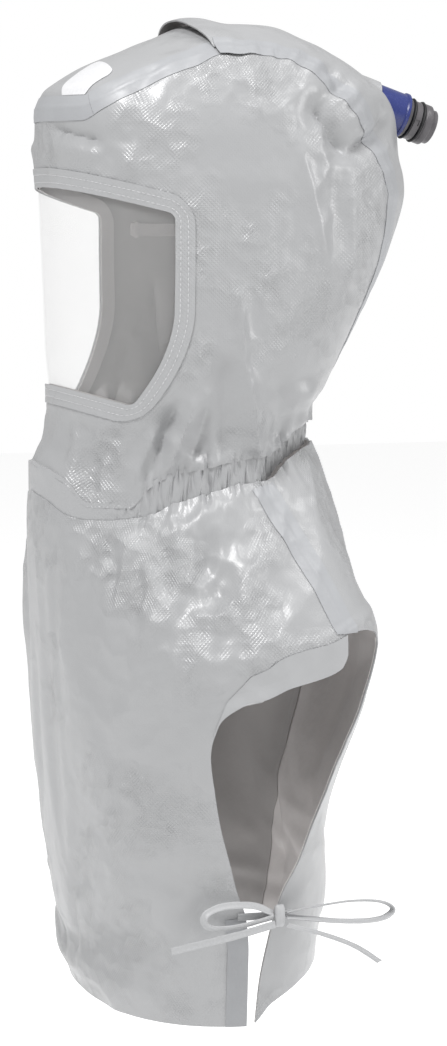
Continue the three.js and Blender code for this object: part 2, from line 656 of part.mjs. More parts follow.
// The rear crown panel stands off the cloth at its open front edge.
const pleatEdge = (x) => PLEAT_FRONT_Y + PLEAT_SWEEP * Math.min((x / PLEAT_HALF) ** 2, 1.6);
function pleatLift(point) {
  const behind = point.y - pleatEdge(point.x);
  const across = Math.sqrt(Math.max(0, 1 - (point.x / PLEAT_HALF) ** 2));
  const flush = smooth(PLEAT_OVERLAP, PLEAT_LENGTH, behind);
  return (1 - flush) * (CLOTH + GAP + PLEAT_LIFT * across * (1 - smooth(0, PLEAT_LENGTH, behind)));
}

// Everything behind a line that follows the pleat's edge, shifted backwards.
function behindPleat(shift) {
  const steps = 14;
  const reach = 1.3 * PLEAT_HALF;
  const edge = Array.from({ length: steps + 1 }, (_, i) => {
    const x = reach * ((2 * i) / steps - 1);
    return [x, pleatEdge(x) + shift];
  });
  const outline = [...edge, [2 * reach, 0], [2 * reach, FAR], [-2 * reach, FAR], [-2 * reach, 0]];
  return planCutter(polygon(outline), -FAR, FAR);
}

// The air inlet's own axis: +Z along it, away from the hood.
const inletMatrix = new THREE.Matrix4()
  .makeTranslation(0, INLET_Y, -INLET_DROP)
  .multiply(new THREE.Matrix4().makeRotationX(-Math.PI / 2 - radians(INLET_TILT_DEG)));

// A closed profile of [radius, distance along the axis], turned about the inlet's axis
function turned(profile) {
  const points = [...profile, profile[0]].map(([radius, z]) => new THREE.Vector2(radius, z));
  return solid(new THREE.LatheGeometry(points, density.roundSegments).rotateX(Math.PI / 2));
}

function rod(radius) {
  const length = 6 * DUCT_INSIDE;
  const geometry = new THREE.CylinderGeometry(radius, radius, length, density.roundSegments);
  return placed(solid(geometry.rotateX(Math.PI / 2)), inletMatrix);
}

// Hood
const visorHole = sideCutter(visorOutline(0));
const hoodCloth = hoodWall(0, -CLOTH);

const makeHoodBody = () => hoodCloth.subtract(visorHole).subtract(crownCutter(GAP / 2));

const makeCrownFrontPanel = () =>
  hoodCloth.intersect(crownCutter(-GAP / 2)).subtract(behindPleat(PLEAT_OVERLAP - GAP));

function makeCrownRearPanel() {
  return hoodWall(pleatLift, (point) => pleatLift(point) - CLOTH)
    .intersect(crownCutter(-GAP / 2))
    .intersect(behindPleat(0))
    .subtract(rod(DUCT_OUTER + GAP));
}

const tapeHalf = SEAM_TAPE_WIDTH / 2;
const BROW_END = 0.135; // share of the way round the seam where the brow tape ends

function makeBrowTape() {
  const strips = [1, -1].map((side) => seamStrip(0, BROW_END, side, BROW_TAPE_WIDTH / 2));
  return hoodWall(GAP + TAPE, GAP).intersect(strips[0].add(strips[1]));
}

function makeCrownFrontTape(side) {
  return hoodWall(GAP + TAPE, GAP)
    .intersect(seamStrip(BROW_END + 0.002, 0.38, side, tapeHalf))
    .subtract(behindPleat(-GAP));
}

function makeCrownRearTape(side) {
  const under = (point) => pleatLift(point) + GAP;
  return hoodWall((point) => under(point) + TAPE, under)
    .intersect(seamStrip(0.3, 0.97, side, tapeHalf))
    .intersect(behindPleat(1))
    .subtract(planCutter(polygon([[-FAR, 0], [FAR, 0], [FAR, FAR], [-FAR, FAR]]), -FAR, -NAPE_TAPE_END));
}

// A plain patch on the front crown panel, wide at the back and narrow at the front
function makeBrowPatch() {
  const half = PATCH_WIDTH / 2;
  const round = half * 0.3;
  const shape = new THREE.Shape();
  shape.moveTo(PATCH_X - half + round, PATCH_BACK_Y);
  shape.lineTo(PATCH_X + half - round, PATCH_BACK_Y);
  shape.quadraticCurveTo(PATCH_X + half, PATCH_BACK_Y, PATCH_X + half, PATCH_BACK_Y - round);
  shape.quadraticCurveTo(PATCH_X + half * 0.8, PATCH_FRONT_Y + round, PATCH_X + half * 0.2, PATCH_FRONT_Y);
  shape.quadraticCurveTo(PATCH_X - half * 0.7, PATCH_FRONT_Y, PATCH_X - half, PATCH_BACK_Y - round);
  shape.quadraticCurveTo(PATCH_X - half, PATCH_BACK_Y, PATCH_X - half + round, PATCH_BACK_Y);
  const brow = seamStrip(0, BROW_END, 1, BROW_TAPE_WIDTH / 2 + GAP);
  return hoodWall(GAP + PATCH_THICKNESS, GAP)
    .intersect(planCutter(shape, -VISOR_TOP_FRONT_DROP / 2, FAR))
    .subtract(brow);
}

function makeVisor() {
  const outside = -CLOTH - GAP;
  return faceWall(outside, outside - VISOR_THICKNESS).intersect(sideCutter(visorOutline(VISOR_TUCK)));
}

function makeVisorBinding() {
  const border = sideCutter(visorOutline(BINDING_WIDTH)).subtract(visorHole);
  return faceWall(GAP + BINDING_THICKNESS, GAP).intersect(border);
}

// A strap on the inside wall, behind the visor's side edge
function makeInnerStrap(side) {
  const outside = -CLOTH - GAP;
  const frontY = VISOR_SIDE_Y + VISOR_TUCK + 3;
  const backY = frontY + STRAP_LENGTH;
  const outline = [[0, frontY], [side * FAR, frontY], [side * FAR, backY], [0, backY]];
  const low = -STRAP_DROP - STRAP_HEIGHT / 2;
  return hoodWall(outside, outside - TAPE).intersect(planCutter(polygon(outline), low, low + STRAP_HEIGHT));
}

// Gathered band at the neck, tucked behind the hood's hem and the cape's top edge
function bandSurface(angle, t) {
  const recess = THREE.MathUtils.lerp(BAND_RECESS_TOP, BAND_RECESS_BOTTOM, t);
  const radius = neckRadius(angle) - recess + gather(angle) * (1 - t);
  const top = neckHeight(angle, "hem") + BAND_TUCK;
  const bottom = neckHeight(angle, "seam") - BAND_TUCK;
  return new THREE.Vector3(
    radius * Math.sin(angle),
    -radius * Math.cos(angle),
    THREE.MathUtils.lerp(top, bottom, t),
  );
}

const makeNeckBand = () =>
  solid(
    wall({
      surface: bandSurface,
      place: (i, j) => [hoodAngle(i), j / density.bandRows],
      columns: density.hoodColumns,
      rows: density.bandRows,
      closed: true,
      outside: BAND_THICKNESS / 2,
      inside: -BAND_THICKNESS / 2,
    }),
  );

// Cape
const capeRows = CAPE_SECTIONS.map((row) => row.at);
const edgeAngle = (column, s) => radians(along(CAPE_SECTIONS, "at", column, s));
const seamClearance = GAP / 2 / (CAPE_SECTIONS[0].side * CAPE_SIDE);

// Angle at a share across a panel, from -1 at one side edge to 1 at the other. Only the columns
// outside the calm share follow the edge, and the rest hang straight down.
const CALM_SHARE = 0.62;
function acrossPanel(share, half, calm) {
  const out = Math.abs(share);
  if (out <= CALM_SHARE) return (share / CALM_SHARE) * calm;
  const past = (out - CALM_SHARE) / (1 - CALM_SHARE);
  return Math.sign(share) * THREE.MathUtils.lerp(calm, half - seamClearance, past);
}
const acrossFront = (share, s) => acrossPanel(share, edgeAngle("frontEdge", s), radians(68));
const acrossBack = (share, s) =>
  Math.PI - acrossPanel(share, Math.PI - edgeAngle("backEdge", s), radians(48));

// A cape panel, or a strip that follows some of its columns and rows
function capeWall(across, columns, outside, inside, { first = 0, last = columns, firstRow = 0 } = {}) {
  return solid(
    wall({
      surface: capeSurface,
      place: (i, j) => {
        const s = capeRows[firstRow + j];
        return [across((2 * (first + i)) / columns - 1, s), s];
      },
      columns: last - first,
      rows: capeRows.length - 1 - firstRow,
      outside,
      inside,
    }),
  );
}

const makeFrontBib = () => capeWall(acrossFront, density.capeFrontColumns, 0, -CLOTH);
const makeBackBib = () => capeWall(acrossBack, density.capeBackColumns, 0, -CLOTH);

// The hems of the side edges: outside the front panel, and inside the back panel
function sideHem(across, columns, side, outside, inside, firstRow) {
  const first = side > 0 ? columns - 1 : 0;
  return capeWall(across, columns, outside, inside, { first, last: first + 1, firstRow });
}
const makeFrontSideHem = (side) =>
  sideHem(acrossFront, density.capeFrontColumns, side, GAP + TAPE, GAP, density.frontHemRow);
const makeBackSideHem = (side) =>
  sideHem(acrossBack, density.capeBackColumns, side, -CLOTH - GAP, -CLOTH - GAP - TAPE, density.backHemRow);

// Tape over the shoulder seam
function makeShoulderTape(side) {
  const rows = 9;
  const from = 0.02;
  const to = SHOULDER_END - 0.012;
  const lift = SHOULDER_TAPE_LIFT;
  return solid(
    wall({
      surface: capeSurface,
      place: (i, j) => {
        const s = from + ((to - from) * j) / rows;
        const angle = edgeAngle("frontEdge", s);
        const turn = edgeAngle("frontEdge", s + 0.005) - edgeAngle("frontEdge", s - 0.005);
        return sideways(capeBase, [side * angle, s], [side * turn, 0.01], (i - 1) * tapeHalf);
      },
      columns: 2,
      rows,
      outside: lift + TAPE,
      inside: lift,
    }),
  );
}

// Air inlet. The duct's flange follows the inside of the cloth.
function makeInletDuct() {
  const barrel = turned([
    [DUCT_BORE, -DUCT_INSIDE],
    [DUCT_OUTER, -DUCT_INSIDE],
    [DUCT_OUTER, DUCT_OUTSIDE - DUCT_RIM_LENGTH],
    [DUCT_OUTER + DUCT_RIM, DUCT_OUTSIDE - DUCT_RIM_LENGTH],
    [DUCT_OUTER + DUCT_RIM, DUCT_OUTSIDE],
    [DUCT_BORE, DUCT_OUTSIDE],
  ]);
  const outside = -CLOTH - GAP;
  const flange = hoodWall(outside, outside - FLANGE_THICKNESS)
    .intersect(rod(FLANGE_RADIUS))
    .subtract(rod(DUCT_BORE + 1));
  return placed(barrel, inletMatrix).add(flange);
}

const connectorStart = DUCT_OUTSIDE + GAP;
const connectorEnd = connectorStart + CONNECTOR_LENGTH;
const SEAL_PLACES = [0.18, 0.5].map((share) => connectorStart + share * CONNECTOR_LENGTH);
const grooveFloor = CONNECTOR_RADIUS - SEAL_SEAT;

function makeInletConnector() {
  const collar = CONNECTOR_RADIUS + COLLAR_STEP;
  const collarEnd = connectorEnd - STUB_LENGTH;
  const grooves = SEAL_PLACES.flatMap((z) => {
    const half = SEAL_WIDTH / 2 + GAP;
    return [
      [CONNECTOR_RADIUS, z - half],
      [grooveFloor, z - half],
      [grooveFloor, z + half],
      [CONNECTOR_RADIUS, z + half],
    ];
  });
  const body = turned([
    [CONNECTOR_BORE, connectorStart - CONNECTOR_SPIGOT],
    [DUCT_BORE - GAP, connectorStart - CONNECTOR_SPIGOT],
    [DUCT_BORE - GAP, connectorStart],
    [CONNECTOR_RADIUS, connectorStart],
    ...grooves,
    [CONNECTOR_RADIUS, collarEnd - COLLAR_LENGTH],
    [collar, collarEnd - COLLAR_LENGTH + COLLAR_STEP],
    [collar, collarEnd - COLLAR_STEP],
    [STUB_RADIUS, collarEnd],
    [STUB_RADIUS, connectorEnd],
    [CONNECTOR_BORE, connectorEnd],
  ]);
  return placed(body.subtract(latchNotch()), inletMatrix);
}

// An L-shaped latch notch between the seals, on the wearer's left
function latchNotch() {
  const z = (SEAL_PLACES[0] + SEAL_PLACES[1]) / 2;
  const depth = 4 * NOTCH_DEPTH;
  const radius = CONNECTOR_RADIUS - NOTCH_DEPTH + depth / 2;
  const leg = new THREE.BoxGeometry(depth, NOTCH_LENGTH, NOTCH_WIDTH).translate(radius, 0, z + NOTCH_WIDTH);
  const footY = (NOTCH_WIDTH - NOTCH_LENGTH) / 2;
  const foot = new THREE.BoxGeometry(depth, NOTCH_WIDTH, 3 * NOTCH_WIDTH).translate(radius, footY, z);
  const turn = new THREE.Matrix4().makeRotationZ(radians(NOTCH_TURN_DEG));
  return placed(solid(leg).add(solid(foot)), turn);
}

const makeSealRing = (place) =>
  placed(
    turned([
      [grooveFloor + GAP, place - SEAL_WIDTH / 2],
      [SEAL_RADIUS, place - SEAL_WIDTH / 2],
      [SEAL_RADIUS, place + SEAL_WIDTH / 2],
      [grooveFloor + GAP, place + SEAL_WIDTH / 2],
    ]),
    inletMatrix,
  );

// Side ties. Routes are measured from the knot's centre: out from the cape, back, and up.
const tieDrop = CAPE_HEM_DROP - TIE_ABOVE_HEM;
const tieShare = (tieDrop - HOOD_HEIGHT) / (CAPE_HEM_DROP - HOOD_HEIGHT);
const tieEdges = {
  front: capeBase(edgeAngle("frontEdge", tieShare), tieShare),
  back: capeBase(edgeAngle("backEdge", tieShare), tieShare),
};
const knotCentre = new THREE.Vector3(
  tieEdges.front.x + KNOT_DEPTH / 2 + KNOT_STANDOFF,
  tieEdges.back.y - KNOT_AHEAD,
  -tieDrop,
);
const TIE_ROUTES = {
  loop_front: [
    [0.4, -6, 2.5],
    [1, -22, 10],
    [2.5, -46, 12],
    [4, -62, 8],
    [5, -66, 1],
    [4.5, -58, -5],
    [3.5, -36, -5.5],
    [1.6, -6, -0.5],
  ],
  loop_back: [
    [0.4, 6, 2],
    [1, 26, 5],
    [2.5, 60, 8],
    [4, 86, 6],
    [5, 97, -1],
    [5, 86, -8],
    [4, 56, -8],
    [1.6, 6, -1],
  ],
  end_front: [
    [3.4, -4.8, -6],
    [7, -40, -12],
    [8.5, -94, -20],
  ],
  end_back: [
    [5, 5.2, -7],
    [7.5, 34, -16],
    [9, 62, -28],
    [9, 84, -43],
  ],
};

// A flat strap along a route. A lean of 90 degrees lays it flat against the cape's side.
function strap(points, side, lean) {
  const curve = new THREE.CatmullRomCurve3(points, false, "centripetal");
  const steps = Math.max(3, Math.round(curve.getLength() / STRAP_STEP));
  const out = new THREE.Vector3(side, 0, 0);
  const ring = (u) => {
    const middle = curve.getPointAt(u);
    const travel = curve.getTangentAt(u);
    const level = out.clone().cross(travel).multiplyScalar(side).normalize();
    const width = level.multiplyScalar(Math.sin(radians(lean))).addScaledVector(out, Math.cos(radians(lean)));
    const face = width.clone().cross(travel).setLength((side * TIE_THICKNESS) / 2);
    width.setLength(TIE_WIDTH / 2);
    return [[-1, -1], [1, -1], [1, 1], [-1, 1]].map(([a, b]) =>
      middle.clone().addScaledVector(width, a).addScaledVector(face, b),
    );
  };
  const positions = Array.from({ length: steps + 1 }, (_, i) => ring(i / steps)).flat(2);
  const index = [];
  const quad = (a, b, c, d) => index.push(a, b, c, a, c, d);
  for (let i = 0; i < steps; i++) {
    for (let k = 0; k < 4; k++) {
      const next = (k + 1) % 4;
      quad(4 * i + k, 4 * i + 4 + k, 4 * i + 4 + next, 4 * i + next);
    }
  }
  quad(0, 1, 2, 3);
  quad(4 * steps + 3, 4 * steps + 2, 4 * steps + 1, 4 * steps);
  const geometry = new THREE.BufferGeometry();
  geometry.setAttribute("position", new THREE.Float32BufferAttribute(positions.flatMap((p) => [...p]), 3));
  geometry.setIndex(index);
  return solid(geometry);
}

const tiePlace = (side, [out, back, up]) =>
  new THREE.Vector3(side * (knotCentre.x + out), knotCentre.y + back, knotCentre.z + up);

function makeKnot(side) {
  const profile = new THREE.Shape();
  profile.absellipse(0, 0, KNOT_DEPTH / 2, KNOT_HEIGHT / 2, 0, tau, false, 0);
  const bevel = KNOT_WIDTH / 8;
  const geometry = new THREE.ExtrudeGeometry(profile, {
    depth: KNOT_WIDTH - 2 * bevel,
    bevelThickness: bevel,
    bevelSize: bevel,
    bevelOffset: -bevel,
    bevelSegments: 1,
    curveSegments: 5,
  });
  geometry.translate(0, 0, bevel - KNOT_WIDTH / 2).rotateX(Math.PI / 2);
  return solid(geometry.translate(...tiePlace(side, [0, 0, 0])));
}

// The sewn end of a tie, from the cape's edge to the knot
function makeTab(side, edge, back) {
  const start = new THREE.Vector3(side * (edge.x + TAB_CLEARANCE), edge.y + back * TAB_SEWN, -tieDrop);
  const end = tiePlace(side, [-KNOT_DEPTH * 0.36, back * KNOT_WIDTH * 0.6, 0]);
  return strap([start, start.clone().lerp(end, 0.5), end], side, 90);
}

// The assembly
const hood = new THREE.Group();
function add(name, made, look) {
  const mesh = new THREE.Mesh(geometryOf(made), look);
  mesh.name = name;
  hood.add(mesh);
}

add("hood_body", makeHoodBody(), clothMaterial);
add("crown_front_panel", makeCrownFrontPanel(), clothMaterial);
add("crown_rear_panel", makeCrownRearPanel(), clothMaterial);
add("brow_tape", makeBrowTape(), tapeMaterial);
add("brow_patch", makeBrowPatch(), patchMaterial);
add("visor", makeVisor(), visorMaterial);
add("visor_binding", makeVisorBinding(), clothMaterial);
add("neck_band", makeNeckBand(), clothMaterial);
add("front_bib", makeFrontBib(), clothMaterial);
add("back_bib", makeBackBib(), clothMaterial);
add("inlet_duct", makeInletDuct(), ductMaterial);
add("inlet_connector", makeInletConnector(), connectorMaterial);
SEAL_PLACES.forEach((place, i) => add(`seal_ring_${i + 1}`, makeSealRing(place), sealMaterial));

for (const [label, side] of [["left", 1], ["right", -1]]) {
  add(`crown_front_tape_${label}`, makeCrownFrontTape(side), tapeMaterial);
  add(`crown_rear_tape_${label}`, makeCrownRearTape(side), tapeMaterial);
  add(`inner_strap_${label}`, makeInnerStrap(side), tapeMaterial);
  add(`shoulder_tape_${label}`, makeShoulderTape(side), tapeMaterial);
  add(`front_side_hem_${label}`, makeFrontSideHem(side), tapeMaterial);
  add(`back_side_hem_${label}`, makeBackSideHem(side), tapeMaterial);
  add(`tie_knot_${label}`, makeKnot(side), clothMaterial);
  add(`tie_tab_front_${label}`, makeTab(side, tieEdges.front, -1), clothMaterial);
  add(`tie_tab_back_${label}`, makeTab(side, tieEdges.back, 1), clothMaterial);
  for (const [route, places] of Object.entries(TIE_ROUTES)) {
    const points = places.map((place) => tiePlace(side, place));
    const lean = route.startsWith("loop") ? LOOP_LEAN_DEG : 90;
    add(`tie_${route}_${label}`, strap(points, side, lean), clothMaterial);
  }
}

export default hood;
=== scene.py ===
"""An air-fed respirator hood, dressed over its CAD frame: cloth, tapes, visor, ties and air inlet."""
import math

import bmesh
import bpy
import numpy as np
from bpy.props import FloatProperty, FloatVectorProperty, IntProperty, PointerProperty
from mathutils import Matrix, Vector


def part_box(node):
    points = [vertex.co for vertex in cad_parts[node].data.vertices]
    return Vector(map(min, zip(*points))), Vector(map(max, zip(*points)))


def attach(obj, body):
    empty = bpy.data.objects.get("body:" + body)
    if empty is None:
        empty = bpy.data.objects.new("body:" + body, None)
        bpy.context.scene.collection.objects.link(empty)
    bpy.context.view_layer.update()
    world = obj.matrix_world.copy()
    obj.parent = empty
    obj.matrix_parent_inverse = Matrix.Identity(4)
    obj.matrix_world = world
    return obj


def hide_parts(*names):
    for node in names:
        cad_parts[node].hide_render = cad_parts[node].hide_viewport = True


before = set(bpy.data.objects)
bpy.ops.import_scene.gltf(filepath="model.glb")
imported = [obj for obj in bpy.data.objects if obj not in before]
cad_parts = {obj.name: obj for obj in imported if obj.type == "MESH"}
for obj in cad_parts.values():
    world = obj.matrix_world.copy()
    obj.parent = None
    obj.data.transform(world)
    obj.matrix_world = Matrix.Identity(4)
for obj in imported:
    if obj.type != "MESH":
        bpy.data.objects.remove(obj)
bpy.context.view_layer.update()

bl_info = {
    "name": "Respirator Hood",
    "version": (1, 0, 0),
    "blender": (4, 5, 0),
    "location": "3D View > Sidebar > Hood",
    "description": "Builds the cloth, visor, ties and air inlet of an air-fed respirator hood",
    "category": "Object",
}

# Driving sizes in metres, as in the CAD model. The wearer faces -Y.
GAP = 0.0002
CLOTH = 0.0015
TAPE = 0.0005
HOOD_HEIGHT = 0.385
HOOD_SIDE = 0.122
HOOD_FRONT = 0.148
HOOD_BACK = 0.180
CAPE_HEM_DROP = 0.819
CAPE_SIDE = 0.188
CAPE_FRONT = 0.148
CAPE_BACK = 0.132
FOLD_DEPTH = 0.010
FOLD_WIDTH = 0.020
BAND_TUCK = 0.004
BAND_RECESS = 0.0007
BAND_THICKNESS = 0.0014
TAPE_WIDTH = 0.020
BINDING_WIDTH = 0.015
BINDING_THICKNESS = 0.0007
VISOR_THICKNESS = 0.0009
VISOR_TUCK = 0.008
VISOR_TOP_FRONT = -0.135
VISOR_TOP_SIDE = -0.158
VISOR_BOTTOM_FRONT = -0.300
VISOR_BOTTOM_SIDE = -0.314
VISOR_SIDE_Y = -0.056
VISOR_BOTTOM_SIDE_Y = -0.086
VISOR_CORNER = 0.0055
PLEAT_FRONT_Y = -0.023
PLEAT_SWEEP = 0.009
PLEAT_LIFT = 0.006
PLEAT_LENGTH = 0.040
PLEAT_OVERLAP = 0.014
PLEAT_HALF = 0.078
PATCH_X = 0.039
PATCH_WIDTH = 0.052
PATCH_FRONT_Y = -0.129
PATCH_BACK_Y = -0.093
PATCH_THICKNESS = 0.0006
INLET_Y = 0.168
INLET_Z = -0.070
INLET_TILT = math.radians(19)
DUCT_OUTER = 0.019
DUCT_BORE = 0.0154
DUCT_OUTSIDE = 0.015
DUCT_INSIDE = 0.024
SLEEVE_END = -0.015  # the cloth rides over the duct up to here
FLANGE_RADIUS = 0.029
CONNECTOR_RADIUS = 0.0168
CONNECTOR_BORE = 0.0126
CONNECTOR_LENGTH = 0.028
SEAL_RADIUS = 0.0183
SEAL_WIDTH = 0.0024
STUB_RADIUS = 0.0148
TIE_Z = -0.725
TIE_WIDTH = 0.0060
TIE_THICKNESS = 0.0012
STRAP_HEIGHT = 0.011
STRAP_LENGTH = 0.053
STRAP_Z = -0.172
SHOULDER_END = 0.292


def table(columns, rows):
    """Named columns of numbers."""
    return {name: np.array(column, float) for name, column in zip(columns.split(), zip(*rows))}


# Sections of the hood from the crown down, as shares of the named sizes
HOOD = table(
    "at drop side front back middle square tilt",
    [
        (0 / 15, 0.0, 0.0, -0.18, 0.15, 0.15, 2.2, 0),
        (1 / 15, 0.006, 0.3, 0.08, 0.33, 0.13, 2.2, 0),
        (2 / 15, 0.034, 0.53, 0.276, 0.483, 0.1, 2.2, 0),
        (3 / 15, 0.064, 0.68, 0.492, 0.632, 0.07, 2.25, 0),
        (4 / 15, 0.1, 0.8, 0.712, 0.751, 0.05, 2.3, 0),
        (5 / 15, 0.153, 0.885, 0.894, 0.88, 0.03, 2.3, 0),
        (6 / 15, 0.205, 0.94, 0.938, 0.93, 0.0, 2.3, 0),
        (7 / 15, 0.28, 0.975, 0.942, 0.948, 0.0, 2.3, 0),
        (8 / 15, 0.36, 0.995, 0.926, 0.972, 0.0, 2.3, 0),
        (9 / 15, 0.49, 1.0, 0.911, 0.893, 0.0, 2.3, 0),
        (10 / 15, 0.6, 0.99, 0.902, 0.779, 0.0, 2.25, 0),
        (11 / 15, 0.7, 0.975, 0.897, 0.662, 0.0, 2.2, 0),
        (12 / 15, 0.785, 0.95, 0.88, 0.576, 0.0, 2.2, 0.1),
        (13 / 15, 0.86, 0.92, 0.88, 0.53, 0.0, 2.2, 0.45),
        (14 / 15, 0.93, 0.89, 0.905, 0.505, 0.0, 2.2, 0.8),
        (15 / 15, 1.0, 0.87, 0.995, 0.5, 0.0, 2.2, 1),
    ],
)
# Hem of the hood and top edge of the cape, as shares of HOOD_HEIGHT below the crown
NECKLINE = table(
    "angle hem seam",
    [
        (0, 0.951, 1.008),
        (12, 0.964, 1.022),
        (22, 0.987, 1.05),
        (30, 1.031, 1.058),
        (45, 1.031, 1.053),
        (53, 0.985, 1.043),
        (62, 0.961, 1.02),
        (76, 0.946, 1.0),
        (90, 0.932, 0.982),
        (104, 0.925, 0.975),
        (116, 0.889, 0.935),
        (132, 0.862, 0.913),
        (180, 0.847, 0.905),
    ],
)
# The crown seam. round: share of the way from the brow to the nape, at: share down HOOD
CROWN_SEAM = table(
    "round angle at",
    [
        (0, 0, 0.378),
        (0.12, 28, 0.38),
        (0.15, 34, 0.358),
        (0.2, 44, 0.31),
        (0.27, 60, 0.25),
        (0.33, 74, 0.2),
        (0.4, 90, 0.198),
        (0.46, 105, 0.2),
        (0.53, 120, 0.238),
        (0.6, 133, 0.318),
        (0.68, 145, 0.415),
        (0.73, 150, 0.5),
        (0.81, 155, 0.65),
        (0.9, 158.5, 0.84),
        (1, 160, 1.06),
    ],
)
BROW_END = 0.135
# Sections of the cape from the neck down, with the side edges of its panels in degrees
CAPE = table(
    "at side front back boxy front_edge back_edge",
    [
        (0.0, 0.565, 1.0, 0.68, 2.2, 100, 100),
        (0.06, 0.66, 1.005, 0.76, 2.3, 103.4, 103.4),
        (0.14, 0.79, 0.995, 0.81, 2.6, 106.5, 106.5),
        (0.22, 0.915, 0.97, 0.855, 3.0, 108.6, 108.6),
        (0.275, 0.985, 0.952, 0.87, 3.5, 109.5, 109.5),
        (0.295, 1.0, 0.946, 0.885, 4.0, 110, 110),
        (0.315, 1.0, 0.944, 0.9, 4.0, 110, 117),
        (0.335, 1.0, 0.942, 0.91, 4.0, 110, 122.5),
        (0.358, 1.0, 0.938, 0.91, 4.0, 108.5, 124.5),
        (0.378, 1.0, 0.937, 0.9, 4.0, 83.5, 124),
        (0.41, 0.99, 0.934, 0.88, 4.0, 77.3, 122),
        (0.47, 0.97, 0.927, 0.825, 4.0, 75.3, 118.8),
        (0.54, 0.945, 0.917, 0.755, 3.5, 76.4, 116.3),
        (0.61, 0.92, 0.904, 0.69, 3.0, 78.1, 113),
        (0.68, 0.89, 0.888, 0.665, 2.6, 80.8, 107),
        (0.74, 0.865, 0.872, 0.68, 2.4, 83.2, 102.5),
        (0.79, 0.85, 0.855, 0.7, 2.2, 86, 97),
        (0.86, 0.835, 0.825, 0.7, 2.2, 87, 93.2),
        (0.93, 0.82, 0.79, 0.685, 2.2, 87, 90.6),
        (1.0, 0.805, 0.735, 0.66, 2.2, 87, 89.6),
    ],
)
HEM = table(
    "angle rise",
    [
        (0, 0.003),
        (30, 0.002),
        (50, 0),
        (88, 0),
        (95, 0.02),
        (102, 0.03),
        (110, 0.038),
        (125, 0.045),
        (180, 0.047),
    ],
)

# Folds run from one place to another. Angles are degrees round from the front, drops are shares
# of HOOD_HEIGHT or of the way down the cape, widths and depths are shares of FOLD_WIDTH and
# FOLD_DEPTH, and crisp is 2 for a round fold and less for a sharp one.
# Columns: from_angle, from_drop, to_angle, to_drop, width, depth, crisp
HOOD_FOLDS = [
    (10, 0.228, 37, 0.262, 0.3, -0.7, 1.35),
    (50, 0.095, 46, 0.175, 0.5, -0.26, 1.8),
    (69, 0.055, 66, 0.12, 0.42, -0.24, 1.8),
    (12, 0.262, 36, 0.285, 0.4, 0.25, 1.5),
    (133, 0.09, 134, 0.16, 0.5, -0.5, 1.6),
    (119, 0.155, 133, 0.29, 0.48, -1.15, 1.25),
    (133, 0.29, 160, 0.19, 0.5, -1.15, 1.25),
    (112, 0.25, 123, 0.52, 0.55, 0.5, 1.0),
    (131, 0.31, 134, 0.56, 0.5, 0.5, 1.0),
    (124, 0.3, 130, 0.5, 0.7, -0.3, 1.8),
    (88, 0.56, 90, 0.74, 0.3, 0.6, 1.0),
    (91, 0.72, 98, 0.93, 0.36, 0.9, 1.0),
    (80, 0.68, 84, 0.92, 0.6, -0.6, 2),
    (72, 0.79, 58, 0.97, 0.34, 0.8, 1.0),
    (64, 0.8, 51, 0.97, 0.42, -0.9, 1.2),
    (56, 0.85, 47, 0.97, 0.3, 0.5, 1.1),
    (77, 0.8, 70, 0.93, 0.4, -0.6, 1.3),
    (106, 0.74, 110, 0.9, 0.7, -0.5, 2),
    (122, 0.76, 126, 0.88, 0.7, 0.5, 2),
    (22, 0.9, 32, 1.0, 0.4, -0.4, 1.5),
    (53, 0.862, 56, 0.97, 0.3, 0.35, 1.3),
    (40, 0.86, 30, 0.95, 0.5, -0.3, 1.6),
    (14, 0.84, 34, 0.88, 0.3, -0.25, 1.5),
    (42, 0.27, 52, 0.33, 0.4, 0.22, 1.4),
    (50, 0.3, 54, 0.37, 0.35, -0.2, 1.4),
    (72, 0.36, 74, 0.5, 0.5, 0.16, 1.6),
    (98, 0.42, 103, 0.62, 0.7, 0.2, 1.4),
]
CAPE_FOLDS = [
    (30, 0.03, 22, 0.3, 0.8, 0.45, 2),
    (52, 0.04, 60, 0.24, 0.7, 0.5, 1.6),
    (70, 0.05, 80, 0.2, 0.6, -0.45, 1.6),
    (8, 0.3, 14, 0.62, 1.0, -0.35, 2),
    (24, 0.7, 6, 0.93, 0.6, -0.5, 1.6),
    (45, 0.66, 82, 0.75, 0.7, -0.55, 1.8),
    (60, 0.4, 56, 0.62, 1.0, 0.35, 2),
    (40, 0.84, 36, 1.0, 1.0, 0.35, 2),
    (148, 0.26, 152, 1.0, 0.8, 0.5, 1.6),
    (134, 0.1, 132, 0.26, 0.8, -0.4, 1.8),
    (40, 0.02, 44, 0.12, 0.35, -0.3, 1.5),
    (62, 0.02, 66, 0.1, 0.3, 0.3, 1.5),
    (80, 0.02, 84, 0.1, 0.3, -0.25, 1.5),
    (16, 0.8, 30, 0.74, 0.4, 0.2, 1.5),
]
# Patches of crumpled cloth. angle: degrees on the wearer's left, drop: share of the fall,
# round and down: reach in metres, depth: in metres
# Columns: angle, drop, round, down, depth
HOOD_CRUMPLES = [
    (40, 0.30, 0.034, 0.024, 0.0030),
    (124, 0.38, 0.024, 0.060, 0.0028),
    (104, 0.55, 0.016, 0.040, 0.0022),
    (50, 0.86, 0.050, 0.040, 0.0036),
    (70, 0.93, 0.030, 0.020, 0.0030),
    (20, 0.90, 0.040, 0.030, 0.0022),
    (96, 0.16, 0.060, 0.018, 0.0024),
    (130, 0.24, 0.040, 0.040, 0.0030),
    (84, 0.70, 0.030, 0.050, 0.0020),
]
CAPE_CRUMPLES = [
    (66, 0.13, 0.080, 0.080, 0.0056),
    (84, 0.23, 0.050, 0.050, 0.0044),
    (34, 0.08, 0.050, 0.030, 0.0030),
    (100, 0.08, 0.040, 0.040, 0.0026),
    (140, 0.15, 0.060, 0.060, 0.0026),
    (50, 0.36, 0.060, 0.060, 0.0018),
    (30, 0.70, 0.080, 0.060, 0.0016),
]
